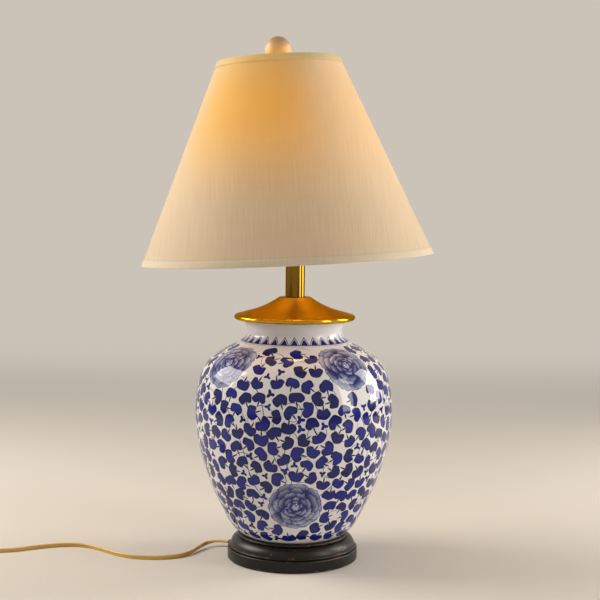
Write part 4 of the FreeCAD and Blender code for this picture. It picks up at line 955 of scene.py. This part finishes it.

# %% [markdown]
# ## Linen
# Slubby plain weave, some threads thicker than others, which is why a lit linen shade shows fine streaks.
# The cloth lets a part of the light through, so a translucent shader is mixed with the Principled one.
# Real threads are about 0.55 mm apart; they are drawn at 0.9 mm, as coarse as they need to be to show. A
# wave texture of scale 1 repeats every pi / 10, so a wave of one thread has the scale pi / 10 / thread.
#
# The cover also carries a painted glow for the lit bulb close to the upper part of the cone: soft gold painted
# into the cloth's colour and given off as light of its own, strongest on the front left at a set height above
# the table.

# %% Weave
THREAD = 0.9 * MM
SLUB_WIDTH, SLUB_LENGTH = 1.3 * THREAD, 0.060
WAVE = math.pi / 10
# The painted glow: its height and reach, the side it faces, and the point on the shade's axis that its side is
# taken from.
PAINTED_GLOW_HEIGHT, PAINTED_GLOW_REACH = 0.63, 0.145
PAINTED_GLOW_AZIMUTH = math.radians(-113)
PAINTED_GLOW_SIDE = (math.cos(PAINTED_GLOW_AZIMUTH), math.sin(PAINTED_GLOW_AZIMUTH), 0.0)
PAINTED_GLOW_MIDDLE = (SHADE_SEAT * MM + [0.005, 0, 0]) * [1, 1, 0]


def painted_glow_share(tree, place):
    """Where the painted glow lies: a smooth step over the distance from its height, times a smooth step over the
    cosine of the angle to its side.
    """
    height = add(tree, "ShaderNodeSeparateXYZ", {"Vector": place}).outputs["Z"]
    above = add(tree, "ShaderNodeMath", {0: height, 1: PAINTED_GLOW_HEIGHT}, operation="SUBTRACT")
    far = add(tree, "ShaderNodeMath", {0: above.outputs[0]}, operation="ABSOLUTE")
    level = add(tree, "ShaderNodeMapRange", {"Value": far.outputs[0], 1: PAINTED_GLOW_REACH, 2: 0.0},
                interpolation_type="SMOOTHSTEP")
    spoke = place
    for operation, term in (("SUBTRACT", PAINTED_GLOW_MIDDLE), ("MULTIPLY", (1, 1, 0)), ("NORMALIZE", (0, 0, 0))):
        spoke = add(tree, "ShaderNodeVectorMath", {0: spoke, 1: term}, operation=operation).outputs[0]
    facing = add(tree, "ShaderNodeVectorMath", {0: spoke, 1: PAINTED_GLOW_SIDE}, operation="DOT_PRODUCT")
    side = add(tree, "ShaderNodeMapRange", {"Value": facing.outputs["Value"], 1: 0.6, 2: 1.0, 3: 0.3, 4: 1.0},
               interpolation_type="SMOOTHSTEP")
    return add(tree, "ShaderNodeMath", {0: level.outputs[0], 1: side.outputs[0]},
               operation="MULTIPLY").outputs[0]


def linen(name, through, painted_glow_strength, base="#EADFC9", other="#E0D2B8"):
    """Two stretched noises on the flat pattern, one per thread direction, give slubs; two waves give the
    weave. The painted glow gilds the cloth's colour and the colour of what comes through it, and adds painted
    light of its own as emission."""
    material, tree, shader, place = new_finish(name, Roughness=0.85, Sheen_Weight=0.15, Sheen_Roughness=0.5,
                                               Emission_Strength=painted_glow_strength)
    uv = add(tree, "ShaderNodeUVMap", uv_map="weave").outputs[0]
    slubs = []
    for scale in ((1 / SLUB_WIDTH, 1 / SLUB_LENGTH, 1.0), (1 / SLUB_LENGTH, 1 / SLUB_WIDTH, 1.0)):
        moved = add(tree, "ShaderNodeMapping", {"Vector": uv, "Scale": scale})
        slubs.append(add(tree, "ShaderNodeTexNoise", {"Vector": moved.outputs[0], "Scale": 1.0, "Detail": 2.0}))
    threads = {"Vector": uv, "Scale": WAVE / THREAD, "Distortion": 0.8, "Detail": 1.0}
    warp, weft = (add(tree, "ShaderNodeTexWave", threads, bands_direction=way).outputs["Fac"] for way in "XY")
    slub = add(tree, "ShaderNodeMix", {0: 0.22, 2: slubs[0].outputs["Fac"], 3: slubs[1].outputs["Fac"]})
    weave = add(tree, "ShaderNodeMath", {0: warp, 1: weft}, operation="MULTIPLY")
    height = add(tree, "ShaderNodeMath", {0: slub.outputs[0], 1: weave.outputs[0]}, operation="ADD")
    bump = add(tree, "ShaderNodeBump", {"Height": height.outputs[0], "Strength": 0.35, "Distance": 0.0003})
    tone = add(tree, "ShaderNodeMapRange", {"Value": slub.outputs[0], 1: 0.3, 2: 0.7})
    # near is the painted glow's share: it gilds the cloth and what comes through it, and sets the emitted
    # colour.
    near = painted_glow_share(tree, place)
    tints = []
    for first, second, gold in ((base, other, "#E2C674"), ("#FFF1D6", "#F0DAB0", "#F9DA7C")):
        cloth = add(tree, "ShaderNodeMix", {0: tone.outputs[0], 6: rgba(first), 7: rgba(second)},
                    data_type="RGBA")
        tints.append(add(tree, "ShaderNodeMix", {0: near, 6: cloth.outputs[2], 7: rgba(gold)},
                         data_type="RGBA").outputs[2])
    # Painted glow: a warm emitted colour where the glow lies, though the cloth is no lamp.
    warm = add(tree, "ShaderNodeMix", {0: near, 6: rgba("#000000"), 7: rgba("#FFB03A")}, data_type="RGBA")
    clear = add(tree, "ShaderNodeBsdfTranslucent", {"Color": tints[1], "Normal": bump.outputs[0]})
    both = add(tree, "ShaderNodeMixShader", {0: through, 1: shader.outputs[0], 2: clear.outputs[0]})
    feed(tree, shader, Base_Color=tints[0], Normal=bump.outputs[0], Emission_Color=warm.outputs[2])
    feed(tree, tree.nodes["Material Output"], Surface=both.outputs[0])
    return material


# After the material's name: how much light goes through, then the strength of the painted glow.
dress(linen("ivory_linen", 0.34, 0.17), linen_cover, linen_seam)
dress(linen("ivory_linen_top_binding", 0.1, 0.22, "#E2CDA4", "#D8C196"), top_binding)
dress(linen("ivory_linen_binding", 0.2, 0.0, "#F2E4CB", "#EADABD"), bottom_binding)

# %% [markdown]
# ## Clear gold plastic
# The flex's jacket is soft clear PVC tinted gold, over two cores of twisted copper. The strands show
# through as fine slanting lines, which a wave on the flex's own UV map gives.

# %% Flex jacket
STRAND_PITCH = 1.6 * MM


def gold_flex():
    """Bright copper lines along the lead, slanting with the angle round it, under a glossy skin."""
    material, tree, shader, place = new_finish("clear_gold_pvc", Roughness=0.22, IOR=1.53, Coat_Weight=0.3,
                                               Subsurface_Weight=0.25, Subsurface_Scale=0.002)
    uv = add(tree, "ShaderNodeUVMap", uv_map="weave").outputs[0]
    strands = add(tree, "ShaderNodeTexWave", {"Vector": uv, "Scale": WAVE / STRAND_PITCH, "Distortion": 1.2},
                  bands_direction="DIAGONAL")
    patch = add(tree, "ShaderNodeTexNoise", {"Vector": place, "Scale": 1000 / 12, "Detail": 3.0})
    copper = add(tree, "ShaderNodeMix", {0: strands.outputs["Fac"], 6: rgba("#B98A24"), 7: rgba("#F6CE66")},
                 data_type="RGBA")
    colour = add(tree, "ShaderNodeMix", {0: patch.outputs["Fac"], 6: copper.outputs[2], 7: rgba("#D6AA3C")},
                 data_type="RGBA")
    feed(tree, shader, Base_Color=colour.outputs[2])
    return material


dress(gold_flex(), flex, "inner_cord")

# %% [markdown]
# ## Small parts
# Moulded plastic, felt, card, glazed porcelain block and the bulb's metal each get a finish of their own.
# Moulded plastic has a fine spark-eroded texture; felt is matted wool; card is pressed pulp.

# %% Plain finishes with a fine grain


def grained(name, first, second, grain_mm, depth, roughness, **values):
    """Two close colours mixed by noise of the grain's size, and a bump of the same noise."""
    material, tree, shader, place = new_finish(name, Roughness=roughness, **values)
    grain = add(tree, "ShaderNodeTexNoise", {"Vector": place, "Scale": 1000 / grain_mm, "Detail": 6.0})
    colour = add(tree, "ShaderNodeMix", {0: grain.outputs["Fac"], 6: rgba(first), 7: rgba(second)},
                 data_type="RGBA")
    bump = add(tree, "ShaderNodeBump", {"Height": grain.outputs["Fac"], "Strength": depth, "Distance": 0.0004})
    feed(tree, shader, Base_Color=colour.outputs[2], Normal=bump.outputs[0])
    return material


def grained_metal(*look):
    """The same in bare metal."""
    return grained(*look, Metallic=1.0)


dress(grained("wool_felt", "#14301F", "#1F4630", 0.8, 0.9, 0.95, Sheen_Weight=0.4), "felt_pad")
dress(grained("pressed_card", "#5A4632", "#7A6146", 1.2, 0.4, 0.9), "paper_liner")
dress(grained("glazed_block", "#E9E2D2", "#F3EEE2", 3.0, 0.1, 0.2), "socket_block")
dress(grained("black_moulded_plastic", "#141210", "#1F1C19", 0.6, 0.2, 0.38), "switch_knob", "cord_bushing")
dress(grained("brown_moulded_plastic", "#4A2F12", "#6A461C", 0.6, 0.15, 0.3, Coat_Weight=0.3), "plug_body")
dress(grained_metal("zinc_plated_steel", "#A9A7A0", "#C9C6BD", 2.0, 0.2, 0.35),
      "threaded_rod", "base_washer", "base_nut")
dress(grained_metal("nickel_contact", "#B8A77F", "#D3C394", 1.5, 0.15, 0.3), "screw_shell", "centre_contact")
dress(grained_metal("bulb_cap_metal", "#B9B4A6", "#D6D0C0", 2.5, 0.15, 0.28), bulb_thread)
dress(grained_metal("solder_tip", "#8E8D88", "#A9A8A2", 1.0, 0.5, 0.4), "bulb_tip")
dress(grained_metal("bright_blade_brass", "#C7A255", "#DDBD77", 1.5, 0.1, 0.22), "plug_blades")

# %% [markdown]
# ## Finial and bulb
# The finial is a turned ball in old ivory colour with a faint ring grain, with painted shade that darkens it
# towards its top, and the small dark end of its pin on the very top. The bulb is frosted inside and lit: a warm
# glow that lights the inside of the shade.

# %% Finial
FINIAL_MIDDLE, FINIAL_R = np.array([-0.02708, 0.0, 0.7107]), 0.0181
FINIAL_TOP = FINIAL_MIDDLE + np.array(SHADE_AXIS) * FINIAL_R
PAINTED_SHADE_DEPTH = 0.022


def ivory_ball():
    """Cream rings of 2 mm about the ball's axis, painted shade browning it from the top down, and a small dark
    spot.
    """
    material, tree, shader, place = new_finish("turned_ivory_resin", Roughness=0.45, Subsurface_Weight=0.15,
                                               Subsurface_Scale=0.004)
    squeezed = add(tree, "ShaderNodeMapping", {"Vector": place, "Scale": (0.15, 0.15, 1.0)})
    rings = add(tree, "ShaderNodeTexNoise", {"Vector": squeezed.outputs[0], "Scale": 1000 / 2.0, "Detail": 3.0})
    cream = add(tree, "ShaderNodeMix", {0: rings.outputs["Fac"], 6: rgba("#EEC07E"), 7: rgba("#F8D597")},
                data_type="RGBA")
    # Painted shade: the ball goes over to brown near its top.
    height = add(tree, "ShaderNodeSeparateXYZ", {"Vector": place}).outputs["Z"]
    painted_top_shade = add(tree, "ShaderNodeMapRange", {"Value": height, 1: FINIAL_TOP[2] - PAINTED_SHADE_DEPTH, 2: FINIAL_TOP[2],
                                            4: 0.75}, interpolation_type="SMOOTHSTEP")
    cream = add(tree, "ShaderNodeMix", {0: painted_top_shade.outputs[0], 6: cream.outputs[2], 7: rgba("#9A7850")},
                data_type="RGBA")
    away = add(tree, "ShaderNodeVectorMath", {0: place, 1: FINIAL_TOP}, operation="DISTANCE")
    pin = add(tree, "ShaderNodeMapRange", {"Value": away.outputs["Value"], 1: 0.0012, 2: 0.0018, 3: 1.0, 4: 0.0})
    colour = add(tree, "ShaderNodeMix", {0: pin.outputs[0], 6: cream.outputs[2], 7: rgba("#5A4326")},
                 data_type="RGBA")
    bump = add(tree, "ShaderNodeBump", {"Height": rings.outputs["Fac"], "Strength": 0.15, "Distance": 0.0003})
    feed(tree, shader, Base_Color=colour.outputs[2], Normal=bump.outputs[0])
    return material


dress(ivory_ball(), "finial_ball")

# %% Lit bulb


def lit_frosted_glass():
    """White frost with a warm light of its own, a touch uneven over 12 mm as the coating is."""
    material, tree, shader, place = new_finish("lit_frosted_glass", Roughness=0.3, IOR=1.5,
                                               Emission_Strength=13.0, Base_Color=rgba("#F4F0E8"))
    frost = add(tree, "ShaderNodeTexNoise", {"Vector": place, "Scale": 1000 / 12, "Detail": 4.0})
    warm = add(tree, "ShaderNodeMix", {0: frost.outputs["Fac"], 6: rgba("#FFCB8C"), 7: rgba("#FFD59E")},
               data_type="RGBA")
    feed(tree, shader, Emission_Color=warm.outputs[2])
    return material


dress(lit_frosted_glass(), "bulb_glass")

# %% [markdown]
# ## Studio
# A pale floor, a pale backdrop that only the camera, mirrors and glass see, and plain soft light: a large
# soft box to the left, two narrower ones to the right, and an even fill from all round.

# %% Floor and world
FLOOR_FRONT, FLOOR_HALF_WIDTH = -4.5, 5.0
WALL_START, COVE_R, WALL_TOP = 2.2, 1.2, 6.0
FADE_START, FADE_END = 0.5, 2.6
BACKDROP = "#CBC3B8"


def pale_cove():
    """A sheet 10 m wide: level, then a quarter circle up, then upright, so that no edge shows behind."""
    bend = np.linspace(0, np.pi / 2, 24)
    arc = np.stack([WALL_START + COVE_R * np.sin(bend), COVE_R - COVE_R * np.cos(bend)], -1)
    side = np.concatenate([[(FLOOR_FRONT, 0.0)], arc, [(WALL_START + COVE_R, WALL_TOP)]])
    points = np.array([[(x, y, z) for x in (-FLOOR_HALF_WIDTH, FLOOR_HALF_WIDTH)] for y, z in side])
    mesh = bpy.data.meshes.new("cove")
    mesh.from_pydata(points.reshape(-1, 3).tolist(), [], quads(len(side), 2).tolist())
    mesh.polygons.foreach_set("use_smooth", [True] * len(mesh.polygons))
    cove = put("cove", mesh)
    return cove


def seen_only(tree):
    """1 for rays from the camera, a mirror or glass, and 0 for the rays that light things."""
    rays = add(tree, "ShaderNodeLightPath").outputs
    either = add(tree, "ShaderNodeMath", {0: rays["Is Camera Ray"], 1: rays["Is Glossy Ray"]},
                 operation="MAXIMUM")
    return add(tree, "ShaderNodeMath", {0: either.outputs[0], 1: rays["Is Transmission Ray"]},
               operation="MAXIMUM").outputs[0]


def matt_paper():
    """Matt pale paper near the lamp, which keeps its shadow. Behind the lamp it goes over to an even pale
    glow that only the camera and mirrors see."""
    material, tree, shader, place = new_finish("matt_paper", Roughness=0.8, Base_Color=rgba("#DBD4CA"))
    depth = add(tree, "ShaderNodeSeparateXYZ", {"Vector": place}).outputs["Y"]
    share = add(tree, "ShaderNodeMapRange", {"Value": depth, 1: FADE_START, 2: FADE_END},
                interpolation_type="SMOOTHSTEP")
    glow = add(tree, "ShaderNodeEmission", {"Color": rgba(BACKDROP), "Strength": seen_only(tree)})
    both = add(tree, "ShaderNodeMixShader", {0: share.outputs[0], 1: shader.outputs[0], 2: glow.outputs[0]})
    feed(tree, tree.nodes["Material Output"], Surface=both.outputs[0])
    return material


def studio_world():
    """An even fill for what lights things; the camera, mirrors and glass see the backdrop's colour."""
    world = bpy.data.worlds.new("studio")
    world.use_nodes = True
    tree = world.node_tree
    fill = add(tree, "ShaderNodeBackground", {"Color": rgba("#F2EEE8"), "Strength": 0.33})
    pale = add(tree, "ShaderNodeBackground", {"Color": rgba(BACKDROP), "Strength": 1.0})
    both = add(tree, "ShaderNodeMixShader", {0: seen_only(tree), 1: fill.outputs[0], 2: pale.outputs[0]})
    feed(tree, tree.nodes["World Output"], Surface=both.outputs[0])
    return world


dress(matt_paper(), pale_cove())
bpy.context.scene.world = studio_world()

# %% Lamps
LAMP_TINT = "#FFF8EE"


def soft_box(name, place, aim_height, width, height, power):
    """A rectangular lamp at place that looks at the lamp's axis at the given height."""
    light = bpy.data.lights.new(name, "AREA")
    light.shape, light.size, light.size_y = "RECTANGLE", width, height
    light.energy, light.color = power, linear(LAMP_TINT).tolist()
    lamp = put(name, light)
    lamp.location = place
    lamp.rotation_euler = (Vector((0, 0, aim_height)) - Vector(place)).to_track_quat("-Z", "Y").to_euler()
    return lamp


soft_box("left_soft_box", (-1.5, 0.2, 1.2), 0.35, 1.1, 1.0, 30)
soft_box("right_soft_box", (1.5, -0.75, 0.8), 0.4, 0.45, 1.2, 11)
soft_box("right_edge_soft_box", (1.55, 0.45, 0.8), 0.4, 0.6, 1.2, 18)
bpy.context.scene.view_settings.view_transform = "Standard"
